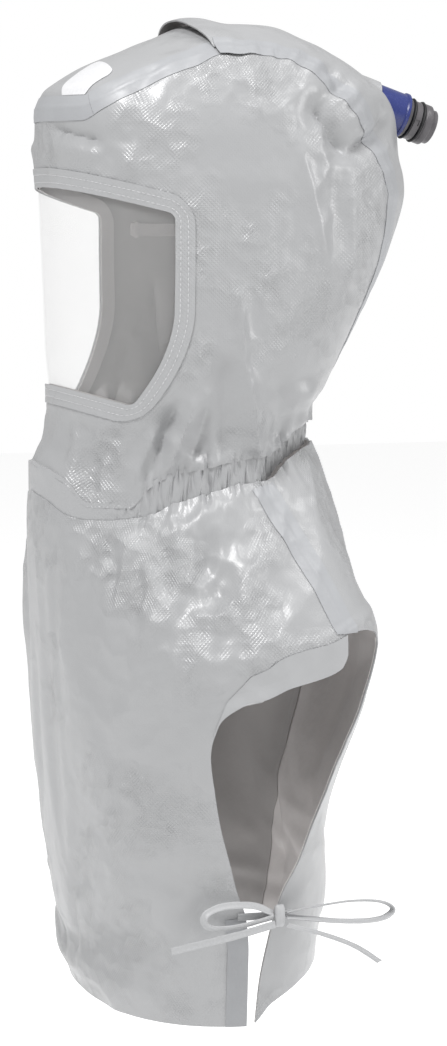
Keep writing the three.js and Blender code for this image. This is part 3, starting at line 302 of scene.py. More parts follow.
# Routes of the tie straps from the knot's centre: out from the cape, back, and up
TIE_ROUTES = {
    "loop_front": [
        (0.0004, -0.0056, 0.0025),
        (0.0010, -0.022, 0.010),
        (0.0025, -0.046, 0.012),
        (0.0040, -0.062, 0.008),
        (0.0050, -0.066, 0.001),
        (0.0045, -0.058, -0.005),
        (0.0035, -0.036, -0.0055),
        (0.0016, -0.0056, -0.0005),
    ],
    "loop_back": [
        (0.0004, 0.0056, 0.002),
        (0.0010, 0.026, 0.005),
        (0.0025, 0.060, 0.008),
        (0.0040, 0.086, 0.006),
        (0.0050, 0.097, -0.001),
        (0.0050, 0.086, -0.008),
        (0.0040, 0.056, -0.008),
        (0.0016, 0.0056, -0.001),
    ],
    "end_front": [(0.0034, -0.0048, -0.006), (0.0070, -0.040, -0.012), (0.0085, -0.094, -0.020)],
    "end_back": [
        (0.0050, 0.0052, -0.007),
        (0.0075, 0.034, -0.016),
        (0.0090, 0.062, -0.028),
        (0.0090, 0.084, -0.043),
    ],
}
# How far each strap lies over, in degrees: 0 stands edge on to the cape, and 90 lies flat
TIE_LEANS = {"loop_front": 52, "loop_back": 24, "end_front": 84, "end_back": 40, "tab": 90}
SIDES = (("left", 1), ("right", -1))


# Curves and surfaces


def along(rows, key, column, x):
    """One column of a table at x: a smooth curve through the rows that never overshoots them."""
    xs, ys = rows[key], rows[column]
    x = np.asarray(x, float)
    span = np.diff(xs)
    slope = np.diff(ys) / span
    before, after = slope[:-1], slope[1:]
    same = before * after > 0
    inner = np.where(same, 2 * before * after / np.where(same, before + after, 1), 0)
    tangent = np.concatenate([slope[:1], inner, slope[-1:]])
    i = np.clip(np.searchsorted(xs, x, side="right") - 1, 0, len(xs) - 2)
    t = np.clip((x - xs[i]) / span[i], 0, 1)
    t2, t3 = t * t, t * t * t
    return (
        (2 * t3 - 3 * t2 + 1) * ys[i]
        + (t3 - 2 * t2 + t) * span[i] * tangent[i]
        + (3 * t2 - 2 * t3) * ys[i + 1]
        + (t3 - t2) * span[i] * tangent[i + 1]
    )


def smooth(start, end, x):
    t = np.clip((x - start) / (end - start), 0, 1)
    return t * t * (3 - 2 * t)


def degrees_from_front(angle):
    turned = np.mod(angle, 2 * math.pi)
    return np.degrees(np.minimum(turned, 2 * math.pi - turned))


def signed_degrees(angle):
    return np.degrees(np.mod(angle + math.pi, 2 * math.pi) - math.pi)


def oval_radius(angle, side, front, back, square):
    """Distance from the axis of an oval with different depths before and behind it."""
    depth = np.where(np.cos(angle) > 0, front, back)
    across = np.abs(np.sin(angle)) / side
    deep = np.abs(np.cos(angle)) / depth
    return (across**square + deep**square) ** (-1 / square)


def outward(surface, u, v, v_last=1.0):
    """Outward direction of a surface, from two small steps along it."""
    step = 0.004
    here = np.clip(v, step, v_last - step)
    round_ = surface(u + step, here) - surface(u - step, here)
    down = surface(u, here + step) - surface(u, here - step)
    normal = np.cross(down, round_)
    return normal / np.linalg.norm(normal, axis=-1, keepdims=True)


def sideways(surface, u, v, du, dv, distance):
    """Moves places on a surface by a distance square to a direction of travel."""
    step = 1e-3
    across_u = (surface(u + step, v) - surface(u - step, v)) / (2 * step)
    across_v = (surface(u, v + step) - surface(u, v - step)) / (2 * step)
    travel = across_u * du[..., None] + across_v * dv[..., None]
    side = np.cross(np.cross(across_u, across_v), travel)
    side *= (distance / np.linalg.norm(side, axis=-1))[..., None]
    pairs = ((across_u, across_u), (across_u, across_v), (across_v, across_v))
    uu, uv, vv = ((a * b).sum(-1) for a, b in pairs)
    su, sv = (side * across_u).sum(-1), (side * across_v).sum(-1)
    scale = uu * vv - uv * uv
    return u + (su * vv - sv * uv) / scale, v + (sv * uu - su * uv) / scale


def fold_height(folds, angle, drop, reach, fall):
    """Height of a fold list over places on the cloth, the same on both sides."""
    x = np.radians(degrees_from_front(angle)) * reach
    z = drop * fall
    height = np.zeros(np.shape(x))
    for from_angle, from_drop, to_angle, to_drop, width, depth, crisp in folds:
        start = np.array([math.radians(from_angle) * reach, from_drop * fall])
        run = np.array([math.radians(to_angle) * reach, to_drop * fall]) - start
        t = ((x - start[0]) * run[0] + (z - start[1]) * run[1]) / (run @ run)
        on = np.clip(t, 0, 1)
        away = np.hypot(x - start[0] - on * run[0], z - start[1] - on * run[1])
        taper = smooth(-0.1, 0.3, t) * (1 - smooth(0.8, 1.15, t))
        height += depth * FOLD_DEPTH * taper * np.exp(-((away / (width * FOLD_WIDTH)) ** crisp))
    return height


def scatter(i, j, seed):
    """A number from 0 to 1 for each cell of a grid, always the same for the same cell."""
    value = np.sin(i * 127.1 + j * 311.7 + seed * 74.7) * 43758.5453
    return value - np.floor(value)


def bowls(x, z, cell, seed):
    """Shallow bowls with sharp ridges between them, from 0 to about 1, as on crumpled film."""
    column, row = np.floor(x / cell), np.floor(z / cell)
    nearest = np.full(np.shape(x), np.inf)
    for i in (-1, 0, 1):
        for j in (-1, 0, 1):
            centre_x = (column + i + scatter(column + i, row + j, seed)) * cell
            centre_z = (row + j + scatter(column + i, row + j, seed + 1)) * cell
            nearest = np.minimum(nearest, (x - centre_x) ** 2 + (z - centre_z) ** 2)
    return nearest / (0.7 * cell) ** 2


def crumple_height(crumples, angle, drop, reach, fall, cell, seed):
    """Height of the crumpled patches, on both sides of the hood."""
    degrees = degrees_from_front(angle)
    x, z = np.radians(degrees) * reach, drop * fall
    weight = np.zeros(x.shape)
    for at_angle, at_drop, round_, down, depth in crumples:
        away = ((x - math.radians(at_angle) * reach) / round_) ** 2 + ((z - at_drop * fall) / down) ** 2
        weight += depth * np.exp(-away)
    turned_x, turned_z = 0.8 * x + 0.6 * z, 0.8 * z - 0.6 * x
    mirrored = np.where(signed_degrees(angle) < 0, 0.3, 0.0)
    coarse = bowls(turned_x + mirrored, turned_z * 0.7, cell, seed)
    fine = bowls(turned_x * 0.8 + mirrored, turned_z, cell * 0.5, seed + 1)
    return weight * (np.minimum(coarse, 1.6) + 0.35 * np.minimum(fine, 1.6) - 0.6)


def hood_base(angle, v):
    """Smooth surface of the hood: v runs from the crown, 0, to the hem, 1."""
    middle = along(HOOD, "at", "middle", v) * HOOD_BACK
    radius = oval_radius(
        angle,
        np.maximum(along(HOOD, "at", "side", v) * HOOD_SIDE, 1e-6),
        np.maximum(along(HOOD, "at", "front", v) * HOOD_FRONT + middle, 1e-6),
        np.maximum(along(HOOD, "at", "back", v) * HOOD_BACK - middle, 1e-6),
        along(HOOD, "at", "square", v),
    )
    hem = along(NECKLINE, "angle", "hem", degrees_from_front(angle))
    stretch = 1 + (hem - 1) * along(HOOD, "at", "tilt", v)
    drop = along(HOOD, "at", "drop", v) * stretch + np.maximum(v - 1, 0)
    return np.stack(
        [radius * np.sin(angle), middle - radius * np.cos(angle), -drop * HOOD_HEIGHT], -1
    )


def neck_radius(angle):
    return oval_radius(
        angle, CAPE["side"][0] * CAPE_SIDE, CAPE["front"][0] * CAPE_FRONT, CAPE["back"][0] * CAPE_BACK, 2.2
    )


def neck_height(angle, column):
    return -along(NECKLINE, "angle", column, degrees_from_front(angle)) * HOOD_HEIGHT


def cape_base(angle, s):
    """Smooth surface of the cape: s runs from the neck, 0, to the hem, 1."""
    radius = oval_radius(
        angle,
        along(CAPE, "at", "side", s) * CAPE_SIDE,
        along(CAPE, "at", "front", s) * CAPE_FRONT,
        along(CAPE, "at", "back", s) * CAPE_BACK,
        np.where(np.cos(angle) > 0, 2.2, along(CAPE, "at", "boxy", s)),
    )
    top = neck_height(angle, "seam")
    hem = (along(HEM, "angle", "rise", degrees_from_front(angle)) - 1) * CAPE_HEM_DROP
    return np.stack([radius * np.sin(angle), -radius * np.cos(angle), top + s * (hem - top)], -1)


def visor_margin(y, z):
    """How far a place lies outside the visor opening, in side view."""
    down = np.clip((VISOR_TOP_SIDE - z) / (VISOR_TOP_SIDE - VISOR_BOTTOM_SIDE), 0, 1.2)
    curve = (np.maximum(down - 0.5, 0) / 0.5) ** 1.8
    side = VISOR_SIDE_Y + curve * (VISOR_BOTTOM_SIDE_Y - VISOR_SIDE_Y)
    top_slope = (VISOR_TOP_FRONT - VISOR_TOP_SIDE) / (VISOR_SIDE_Y + HOOD_FRONT * 0.95)
    bottom_slope = (VISOR_BOTTOM_FRONT - VISOR_BOTTOM_SIDE) / (VISOR_BOTTOM_SIDE_Y + HOOD_FRONT * 0.9)
    above = z - (VISOR_TOP_SIDE + top_slope * (VISOR_SIDE_Y - y))
    below = (VISOR_BOTTOM_SIDE + bottom_slope * (VISOR_BOTTOM_SIDE_Y - y)) - z
    behind = y - side
    upright = np.maximum(above, below) + VISOR_CORNER
    level = behind + VISOR_CORNER
    corner = np.hypot(np.maximum(upright, 0), np.maximum(level, 0))
    return corner + np.minimum(np.maximum(upright, level), 0) - VISOR_CORNER


def seam_places(round_, side, grow):
    """Places beside the crown seam."""
    step = 0.005
    turn, fall = (
        along(CROWN_SEAM, "round", column, round_ + step)
        - along(CROWN_SEAM, "round", column, round_ - step)
        for column in ("angle", "at")
    )
    turn = np.radians(turn)
    angle = side * np.radians(along(CROWN_SEAM, "round", "angle", round_))
    at = along(CROWN_SEAM, "round", "at", round_)
    return sideways(hood_base, angle, at, side * turn, fall, side * grow)


INLET_AXIS = np.array([0, math.cos(INLET_TILT), -math.sin(INLET_TILT)])


def inlet_parts(points):
    """How far along the inlet's axis each point is, and the way to it from the axis."""
    offset = points - [0, INLET_Y, INLET_Z]
    run = offset @ INLET_AXIS
    return run, offset - run[..., None] * INLET_AXIS


def inlet_distance(points):
    run, side = inlet_parts(points)
    return np.where(run > -0.06, np.linalg.norm(side, axis=-1), 1.0)


def inlet_clearance(points):
    """Above 0 outside the hole in the cloth that the duct passes through."""
    run, side = inlet_parts(points)
    return np.maximum(np.linalg.norm(side, axis=-1) - DUCT_OUTER - GAP, SLEEVE_END - run)


def over_duct(points):
    """The cloth rides over the inner end of the duct like a short sleeve."""
    run, side = inlet_parts(points)
    reach = np.linalg.norm(side, axis=-1)
    short = np.maximum(DUCT_OUTER + CLOTH + 2 * GAP - reach, 0)
    share = (1 - smooth(SLEEVE_END, SLEEVE_END + 0.004, run)) * smooth(-0.06, -0.04, run)
    return points + side * (short * share / np.maximum(reach, 0.001))[..., None]


SEAM_ROUND = np.linspace(0, 1, 260)
SEAM_LINE = hood_base(
    np.radians(along(CROWN_SEAM, "round", "angle", SEAM_ROUND)), along(CROWN_SEAM, "round", "at", SEAM_ROUND)
)
SEAM_LENGTH = np.concatenate([[0], np.cumsum(np.linalg.norm(np.diff(SEAM_LINE, axis=0), axis=1))])


def crown_seam(angle, v):
    """Distance outside the crown seam, and how far along the seam the nearest place is."""
    degrees = degrees_from_front(angle)
    points = hood_base(np.radians(degrees), v).reshape(-1, 3)
    distance, nearest = np.empty(len(points)), np.empty(len(points), int)
    for start in range(0, len(points), 4000):
        part = points[start : start + 4000]
        gaps = np.sqrt(((part[:, None] - SEAM_LINE[None]) ** 2).sum(-1))
        nearest[start : start + 4000] = gaps.argmin(1)
        distance[start : start + 4000] = gaps.min(1)
    inside = v < along(CROWN_SEAM, "angle", "at", degrees)
    distance = np.where(inside, -1, 1) * distance.reshape(np.shape(v))
    return distance, SEAM_LENGTH[nearest].reshape(np.shape(v))


def waves(x, periods, phase):
    """A ragged wave: the mean of cosines with unlike periods."""
    parts = (np.cos(2 * math.pi * x / period + phase * k) for k, period in enumerate(periods, 1))
    return sum(parts) / len(periods)


def gather(angle):
    """Ruffles drawn in by the elastic, from beside the throat round to the nape."""
    x = signed_degrees(angle)
    return smooth(34, 50, degrees_from_front(angle)) * 0.0018 * waves(x, (9.1, 6.3, 13.7), 1.3)


def fine_gather(angle):
    """The finer ruffles, which die out close to the elastic."""
    x = signed_degrees(angle)
    return smooth(34, 50, degrees_from_front(angle)) * 0.0018 * waves(x, (4.1, 3.1, 5.3), 0.4)


def pleat_edge(x):
    return PLEAT_FRONT_Y + PLEAT_SWEEP * np.minimum((x / PLEAT_HALF) ** 2, 1.6)


def pleat_lift(point):
    """How far the rear crown panel stands off the cloth behind its open front edge."""
    behind = point[..., 1] - pleat_edge(point[..., 0])
    across = np.sqrt(np.maximum(0, 1 - (point[..., 0] / PLEAT_HALF) ** 2))
    flush = smooth(PLEAT_OVERLAP, PLEAT_LENGTH, behind)
    return (1 - flush) * (CLOTH + GAP + PLEAT_LIFT * across * (1 - smooth(0, PLEAT_LENGTH, behind)))


DRIFTS = {}


def drift(name, u, v):
    """How far the simulated cloth has moved from its drawn surface, at any place on it."""
    if name not in DRIFTS:
        return 0.0
    us, vs, field, closed = DRIFTS[name]
    x = (u - us[0]) / (us[1] - us[0])
    x = np.mod(x, len(us)) if closed else np.clip(x, 0, len(us) - 1)
    y = np.clip((v - vs[0]) / (vs[1] - vs[0]), 0, len(vs) - 1)
    i, j = np.floor(x).astype(int), np.minimum(np.floor(y).astype(int), len(vs) - 2)
    i = i % len(us) if closed else np.minimum(i, len(us) - 2)
    k = (i + 1) % len(us)
    a, b = (x - np.floor(x) if closed else x - i)[..., None], (y - j)[..., None]
    return (field[j, i] * (1 - a) + field[j, k] * a) * (1 - b) + (
        field[j + 1, i] * (1 - a) + field[j + 1, k] * a
    ) * b


def hood_calm(base):
    """1 where the cloth may crease, 0 where the stiff border of the visor keeps it flat."""
    border = smooth(BINDING_WIDTH + 0.001, BINDING_WIDTH + 0.016, visor_margin(base[..., 1], base[..., 2]))
    return border * smooth(0.022, 0.05, inlet_distance(base))


def hood_point(angle, v, lift=0.0):
    base = hood_base(angle, v)
    drop = -base[..., 2] / HOOD_HEIGHT
    calm = hood_calm(base)
    folds = fold_height(HOOD_FOLDS, angle, drop, HOOD_SIDE, HOOD_HEIGHT) * smooth(0.14, 0.3, v)
    folds = folds * (1 - smooth(0.97, 1, v))
    crumple = crumple_height(HOOD_CRUMPLES, angle, drop, HOOD_SIDE, HOOD_HEIGHT, 0.026, 7)
    away, run = crown_seam(angle, v)
    pucker = 0.0026 * waves(run + 0.25 * away, (0.019, 0.031, 0.045), 2.1) * np.exp(-((away / 0.022) ** 2))
    pucker = pucker * smooth(0.17, 0.24, run) * smooth(0.1, 0.22, v) * (1 - 0.85 * smooth(0.36, 0.44, run))
    ripple = gather(angle) * smooth(0.86, 1, v) + fine_gather(angle) * smooth(0.94, 1, v)
    height = (folds + crumple) * calm + pucker + ripple + lift
    return base + outward(hood_base, angle, v) * np.asarray(height)[..., None] + drift("hood", angle, v)


def face_point(angle, v, lift=0.0):
    """The hood's smooth surface round the visor, which has no creases."""
    return hood_base(angle, v) + outward(hood_base, angle, v) * np.asarray(lift + 0 * v)[..., None]


def cape_point(angle, s, lift=0.0):
    base = cape_base(angle, s)
    fall = CAPE_HEM_DROP - HOOD_HEIGHT
    folds = fold_height(CAPE_FOLDS, angle, s, CAPE_SIDE, fall)
    crumple = crumple_height(CAPE_CRUMPLES, angle, s, CAPE_SIDE, fall, 0.034, 21)
    ripple = gather(angle) * (1 - smooth(0, 0.09, s)) + fine_gather(angle) * (1 - smooth(0, 0.04, s))
    height = (folds + crumple) * smooth(0, 0.04, s) + ripple + lift
    moved = base + outward(cape_base, angle, s) * np.asarray(height)[..., None]
    front = degrees_from_front(angle) <= along(CAPE, "at", "front_edge", s) + 0.01
    signed, positive = np.mod(angle + math.pi, 2 * math.pi) - math.pi, np.mod(angle, 2 * math.pi)
    return moved + np.where(front[..., None], drift("cape_front", signed, s), drift("cape_back", positive, s))


# Patches of surface, kept as places (u, v) and faces until they are cut to shape


def grid(us, vs, closed=False, capped=False):
    across = len(us)
    uv = np.stack(np.meshgrid(us, vs), -1).reshape(-1, 2)
    steps = across if closed else across - 1
    faces = [
        (
            j * across + i,
            (j + 1) * across + i,
            (j + 1) * across + (i + 1) % across,
            j * across + (i + 1) % across,
        )
        for j in range(len(vs) - 1)
        for i in range(steps)
    ]
    if capped:
        faces.append(tuple(range(across)))
    return uv, faces


def cut(patch, value):
    """The part of a patch where value(u, v) is above 0, cut cleanly along its edge."""
    uv, faces = patch
    height = value(uv[:, 0], uv[:, 1])
    above = height > 0
    points, made = list(uv), {}

    def crossing(a, b):
        key = (min(a, b), max(a, b))
        if key not in made:
            turn = uv[b] - uv[a]
            turn[0] = (turn[0] + math.pi) % (2 * math.pi) - math.pi
            made[key] = len(points)
            points.append(uv[a] + turn * (height[a] / (height[a] - height[b])))
        return made[key]

    kept = []
    for face in faces:
        inside = above[list(face)]
        if inside.all():
            kept.append(face)
        elif inside.any():
            corners = []
            for a, b in zip(face, face[1:] + face[:1]):
                if above[a]:
                    corners.append(a)
                if above[a] != above[b]:
                    corners.append(crossing(a, b))
            kept.append(tuple(corners))
    used = sorted({k for face in kept for k in face})
    new = {k: i for i, k in enumerate(used)}
    return np.array([points[k] for k in used]), [tuple(new[k] for k in face) for face in kept]


def strip(places, run, widths):
    """A patch along a line: places(run, width) gives (u, v) across its width."""
    u, v = places(np.repeat(run, len(widths)), np.tile(widths, len(run)))
    across = len(widths)
    faces = [
        (j * across + i, (j + 1) * across + i, (j + 1) * across + i + 1, j * across + i + 1)
        for j in range(len(run) - 1)
        for i in range(across - 1)
    ]
    return np.stack([u, v], 1), faces


def make_object(name, points, faces, weave=None):
    mesh = bpy.data.meshes.new(name)
    mesh.from_pydata([tuple(p) for p in points], [], faces)
    if weave is not None:
        layer = mesh.uv_layers.new(name="Weave")
        corner = np.empty(len(mesh.loops), int)
        mesh.loops.foreach_get("vertex_index", corner)
        layer.data.foreach_set("uv", weave[corner].astype(np.float32).ravel())
    mesh.validate()
    mesh.shade_smooth()
    made = bpy.data.objects.new(name, mesh)
    bpy.context.scene.collection.objects.link(made)
    return made


def facing_out(made):
    """Turns an open sheet so that its faces point away from the hood's axis."""
    mesh = made.data
    count = len(mesh.polygons)
    centres, normals, areas = (np.empty(n) for n in (count * 3, count * 3, count))
    mesh.polygons.foreach_get("center", centres)
    mesh.polygons.foreach_get("normal", normals)
    mesh.polygons.foreach_get("area", areas)
    centres, normals = centres.reshape(-1, 3), normals.reshape(-1, 3)
    low, high = centres.min(0), centres.max(0)
    axis = centres * [1, 1, 0] if (high - low)[2] > 0.06 else centres - [0, 0, -0.3]
    if ((axis * normals).sum(1) * areas).sum() < 0:
        mesh.flip_normals()


def finished(made, sharp_degrees=38):
    """Applies a piece's modifiers and marks its hard edges."""
    mesh = bpy.data.meshes.new_from_object(made.evaluated_get(bpy.context.evaluated_depsgraph_get()))
    old = made.data
    made.modifiers.clear()
    made.data = mesh
    mesh.name = made.name
    bpy.data.meshes.remove(old)
    mesh.shade_smooth()
    mesh.set_sharp_from_angle(angle=math.radians(sharp_degrees))
    return made


def thickened(made, thickness, inner=None):
    """Gives a sheet its wall, inwards, with its own material inside where one is named."""
    facing_out(made)
    wall = made.modifiers.new("Wall", "SOLIDIFY")
    wall.thickness = thickness
    wall.offset = -1
    wall.use_even_offset = False
    if inner:
        made.data.materials.append(inner)
        wall.material_offset = 1
    return finished(made)


def dressed(made, slot, *nodes):
    """A finished piece takes the place of its CAD nodes."""
    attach(made, "root")
    if nodes:
        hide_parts(*nodes)
    return made


def cloth_piece(name, patch, place, material, slot, node, thickness, weave, inner=None):
    points = place(patch[0][:, 0], patch[0][:, 1])
    made = make_object(name, points, patch[1], weave(patch[0], points))
    made.data.materials.append(material)
    thickened(made, thickness, inner)
    return dressed(made, slot, node)


def round_weave(reach):
    """Flat coordinates for cloth that hangs round an upright axis."""
    return lambda uv, points: np.stack([signed_degrees(uv[:, 0]) / 180 * math.pi * reach, points[:, 2]], 1)


def plan_weave(uv, points):
    return points[:, :2]


# Materials


class Nodes:
    """Builds one material's node tree."""

    def __init__(self, name):
        self.material = bpy.data.materials.new(name)
        self.material.use_nodes = True
        self.tree = self.material.node_tree
        self.shader = self.tree.nodes["Principled BSDF"]

    def add(self, kind, inputs=None, **settings):
        node = self.tree.nodes.new(kind)
        for key, value in settings.items():
            setattr(node, key, value)
        for key, value in (inputs or {}).items():
            self.feed(node, key, value)
        return node

    def feed(self, node, key, value):
        if isinstance(value, bpy.types.NodeSocket):
            self.tree.links.new(value, node.inputs[key])
        else:
            node.inputs[key].default_value = value

    def set(self, **values):
        for key, value in values.items():
            self.feed(self.shader, key.replace("_", " "), value)

    def maths(self, operation, a, b=0.0):
        return self.add("ShaderNodeMath", {0: a, 1: b}, operation=operation).outputs[0]

    def between(self, factor, low, high):
        return self.add("ShaderNodeMapRange", {"Value": factor, "To Min": low, "To Max": high}).outputs[0]

    def noise(self, where, scale, detail=3.0, rough=0.5):
        return self.add(
            "ShaderNodeTexNoise", {"Vector": where, "Scale": scale, "Detail": detail, "Roughness": rough}
        ).outputs[0]

    def mix(self, factor, low, high):
        node = self.add("ShaderNodeMix", data_type="RGBA")
        self.feed(node, 0, factor)
        self.feed(node, 6, low)
        self.feed(node, 7, high)
        return node.outputs[2]

    def bump(self, height, distance, strength=1.0, under=None):
        node = self.add("ShaderNodeBump", {"Height": height, "Distance": distance, "Strength": strength})
        if under is not None:
            self.feed(node, "Normal", under)
        return node.outputs[0]


def shade(colour, share):
    return tuple(channel * share for channel in colour[:3]) + (1.0,)


def cloth_material(name, colour, roughness, emboss_pitch, emboss_depth, crease_depth):
    """Coated cloth: a fine diamond emboss, small creases in the coating, and a soft patchy sheen."""
    made = Nodes(name)
    weave = made.add("ShaderNodeUVMap", uv_map="Weave").outputs[0]
    turned = made.add(
        "ShaderNodeMapping",
        {"Vector": weave, "Rotation": (0, 0, math.radians(45)), "Scale": (math.pi / emboss_pitch,) * 3},
    ).outputs[0]
    parts = made.add("ShaderNodeSeparateXYZ", {"Vector": turned}).outputs
    lines = [made.maths("ABSOLUTE", made.maths("SINE", parts[k])) for k in (0, 1)]
    diamonds = made.maths("MINIMUM", *lines)
    place = made.add("ShaderNodeTexCoord").outputs["Object"]
    patches = made.noise(place, 11.0, 3.0, 0.6)
    creases = made.add(
        "ShaderNodeTexVoronoi",
        {"Vector": place, "Scale": 84.0, "Randomness": 1.0, "Smoothness": 0.22},
        feature="SMOOTH_F1",
    ).outputs["Distance"]
    grain = made.noise(place, 900.0, 2.0)
    broad = made.add(
        "ShaderNodeMapRange", {"Value": patches, "From Min": 0.45, "From Max": 0.62, "To Min": 0.1}
    ).outputs[0]
    first = made.bump(made.maths("MULTIPLY", creases, broad), crease_depth)
    second = made.bump(made.maths("MULTIPLY", diamonds, broad), emboss_depth, under=first)
    normal = made.bump(grain, emboss_depth * 0.25, under=second)
    made.set(
        Base_Color=made.mix(patches, shade(colour, 0.95), shade(colour, 1.04)),
        Roughness=made.between(patches, roughness + 0.08, roughness - 0.10),
        Normal=normal,
    )
    made.set(Coat_Weight=0.3, Coat_Roughness=0.22, Coat_Normal=normal)
    return made.material


def tape_material(name, colour, roughness):
    """Smooth heat-sealed tape with faint streaks along it."""
    made = Nodes(name)
    place = made.add("ShaderNodeTexCoord").outputs["Object"]
    streaks = made.noise(place, 70.0, 3.0)
    made.set(
        Base_Color=made.mix(streaks, shade(colour, 0.95), shade(colour, 1.05)),
        Roughness=made.between(streaks, roughness - 0.06, roughness + 0.1),
        Normal=made.bump(streaks, 0.0006),
    )
    return made.material


def plain_material(name, colour, roughness, grain_scale=400.0, grain_depth=0.00006):
    """Moulded plastic, rubber or thread with a fine grain."""
    made = Nodes(name)
    place = made.add("ShaderNodeTexCoord").outputs["Object"]
    grain = made.noise(place, grain_scale, 3.0)
    made.set(
        Base_Color=made.mix(grain, shade(colour, 0.9), shade(colour, 1.1)),
        Roughness=made.between(grain, roughness - 0.05, roughness + 0.08),
        Normal=made.bump(grain, grain_depth),
    )
    return made.material


def clear_material(name, colour, roughness, opacity):
    """Clear flexible sheet, with faint soft ripples in its gloss."""
    made = Nodes(name)
    place = made.add("ShaderNodeTexCoord").outputs["Object"]
    ripple = made.noise(place, 9.0, 1.0)
    made.set(
        Base_Color=shade(colour, 1.0),
        Roughness=made.between(ripple, roughness, roughness + 0.05),
        Normal=made.bump(ripple, 0.0015),
    )
    made.set(Alpha=opacity)
    made.material.surface_render_method = "BLENDED"
    return made.material


LOOKS = {}


def look(name):
    """A shared material, made when it is first asked for."""
    if name not in LOOKS:
        cloth, inlet = bpy.context.scene.hood_cloth, bpy.context.scene.hood_inlet
        makers = {
            "cloth": lambda: cloth_material(
                "coated_cloth", cloth.colour, cloth.roughness, cloth.emboss_pitch, cloth.emboss_depth, 0.0027
            ),
            "cape_cloth": lambda: cloth_material(
                "cape_cloth", cloth.colour, cloth.roughness + 0.03, cloth.emboss_pitch, cloth.emboss_depth, 0.0034
            ),
            "inside": lambda: cloth_material(
                "cloth_inside", cloth.inside_colour, 0.62, cloth.emboss_pitch, cloth.emboss_depth * 0.15, 0.0016
            ),
            "binding": lambda: cloth_material(
                "visor_border", shade(cloth.colour, 1.04), 0.4, cloth.emboss_pitch, cloth.emboss_depth * 0.6, 0.0012
            ),
            "tape": lambda: tape_material("seam_tape", cloth.tape_colour, 0.42),
            "hem": lambda: tape_material("hem_cloth", shade(cloth.tape_colour, 0.86), 0.45),
            "tie": lambda: plain_material("tie_cloth", shade(cloth.colour, 1.14), 0.42, 600.0, 0.0002),
            # Painted shade: the inside colour darkened, for the far back hem that lies in the front panel's shade
            "painted_shade_inner_hem": lambda: tape_material("painted_shade_inner_hem", shade(cloth.inside_colour, 0.92), 0.6),
            # Painted light: the inside colour lightened 1.66 times, standing in for the light that reaches the back
            # panel's inside
            "painted_light_back_inside": lambda: tape_material("painted_light_back_inside", shade(cloth.inside_colour, 1.66), 0.6),
            "sleeve_hem": lambda: tape_material("sleeve_hem", shade(cloth.colour, 1.04), 0.42),
            # Painted light: the inside colour lightened 1.5 times, so that the visor border's inside and the straps
            # inside the hood look lit
            "painted_light_inner_border": lambda: tape_material("painted_light_inner_border", shade(cloth.inside_colour, 1.5), 0.45),
            "patch": lambda: plain_material("bare_patch", cloth.patch_colour, 0.35),
            "thread": lambda: plain_material("thread", cloth.thread_colour, 0.5, 1500.0),
            "visor": lambda: clear_material("clear_sheet", (1.0, 1.0, 1.0), 0.03, 0.10),
            "duct": lambda: plain_material("blue_duct", inlet.duct_colour, 0.25),
            "connector": lambda: plain_material("grey_connector", inlet.connector_colour, 0.38),
            "seal": lambda: plain_material("black_seal", inlet.seal_colour, 0.5),
        }
        LOOKS[name] = makers[name]()
    return LOOKS[name]


# Simulated cloth


def settle(name, surface, us, vs, closed, hold, growth, cap):
    """Lets slightly oversized cloth buckle between the places that hold it, and keeps its drift."""
    uv, faces = grid(us, vs, closed)
    start = surface(uv[:, 0], uv[:, 1])
    made = make_object(f"{name}_simulation", start, faces)
    pins = made.vertex_groups.new(name="held")
    weights = hold(uv[:, 0], uv[:, 1])
    for level in np.unique(np.round(weights, 2)):
        if level > 0:
            pins.add([int(k) for k in np.nonzero(np.round(weights, 2) == level)[0]], float(level), "REPLACE")
    cloth = made.modifiers.new("Cloth", "CLOTH")
    settings = cloth.settings
    settings.quality = 6
    settings.mass = 0.12
    settings.tension_stiffness = settings.compression_stiffness = 30
    settings.shear_stiffness = 12
    settings.bending_stiffness = 0.12
    settings.air_damping = 4
    settings.vertex_group_mass = "held"
    settings.pin_stiffness = 2
    settings.shrink_min = -growth
    settings.effector_weights.gravity = 0.1
    cloth.collision_settings.use_collision = False
    cloth.point_cache.frame_start, cloth.point_cache.frame_end = 1, 16
    scene = bpy.context.scene
    for step in range(1, 17):
        scene.frame_set(step)
    settled = np.empty(len(uv) * 3)
    result = made.evaluated_get(bpy.context.evaluated_depsgraph_get()).data
    result.vertices.foreach_get("co", settled)
    move = settled.reshape(-1, 3) - start
    reach = np.linalg.norm(move, axis=1, keepdims=True)
    move *= np.minimum(1, cap / np.maximum(reach, 1e-9))
    move = move.reshape(len(vs), len(us), 3)
    for _ in range(3):
        move[1:-1] = (move[:-2] + 2 * move[1:-1] + move[2:]) / 4
        around = (np.roll(move, 1, 1) + 2 * move + np.roll(move, -1, 1)) / 4
        move = around if closed else np.concatenate([move[:, :1], around[:, 1:-1], move[:, -1:]], 1)
    DRIFTS[name] = (us, vs, move, closed)
    scene.frame_set(1)
    bpy.data.objects.remove(made)


def hood_hold(angle, v):
    base = hood_base(angle, v)
    border = 1 - smooth(BINDING_WIDTH, BINDING_WIDTH + 0.012, visor_margin(base[..., 1], base[..., 2]))
    away, _ = crown_seam(angle, v)
    seam = 1 - smooth(TAPE_WIDTH * 0.3, TAPE_WIDTH * 0.8, np.abs(away))
    ends = np.maximum(1 - smooth(0.12, 0.2, v), smooth(0.97, 0.985, v))
    return np.clip(np.maximum.reduce([border, seam, ends, 0 * v + 0.02]), 0, 1)


def cape_hold(edge):
    def hold(angle, s):
        degrees = degrees_from_front(angle)
        seam = along(CAPE, "at", edge, s)
        near = 1 - smooth(3, 9, np.abs(degrees - seam))
        shoulder = near * (1 - smooth(SHOULDER_END, SHOULDER_END + 0.02, s))
        free_edge = 0.3 * near
        ends = np.maximum(1 - smooth(0.015, 0.05, s), 0.5 * smooth(0.96, 0.99, s))
        return np.clip(np.maximum.reduce([shoulder, free_edge, ends, 0 * s + 0.03]), 0, 1)

    return hold


# Pieces


def crown_inside(shift):
    return lambda angle, v: shift - crown_seam(angle, v)[0]


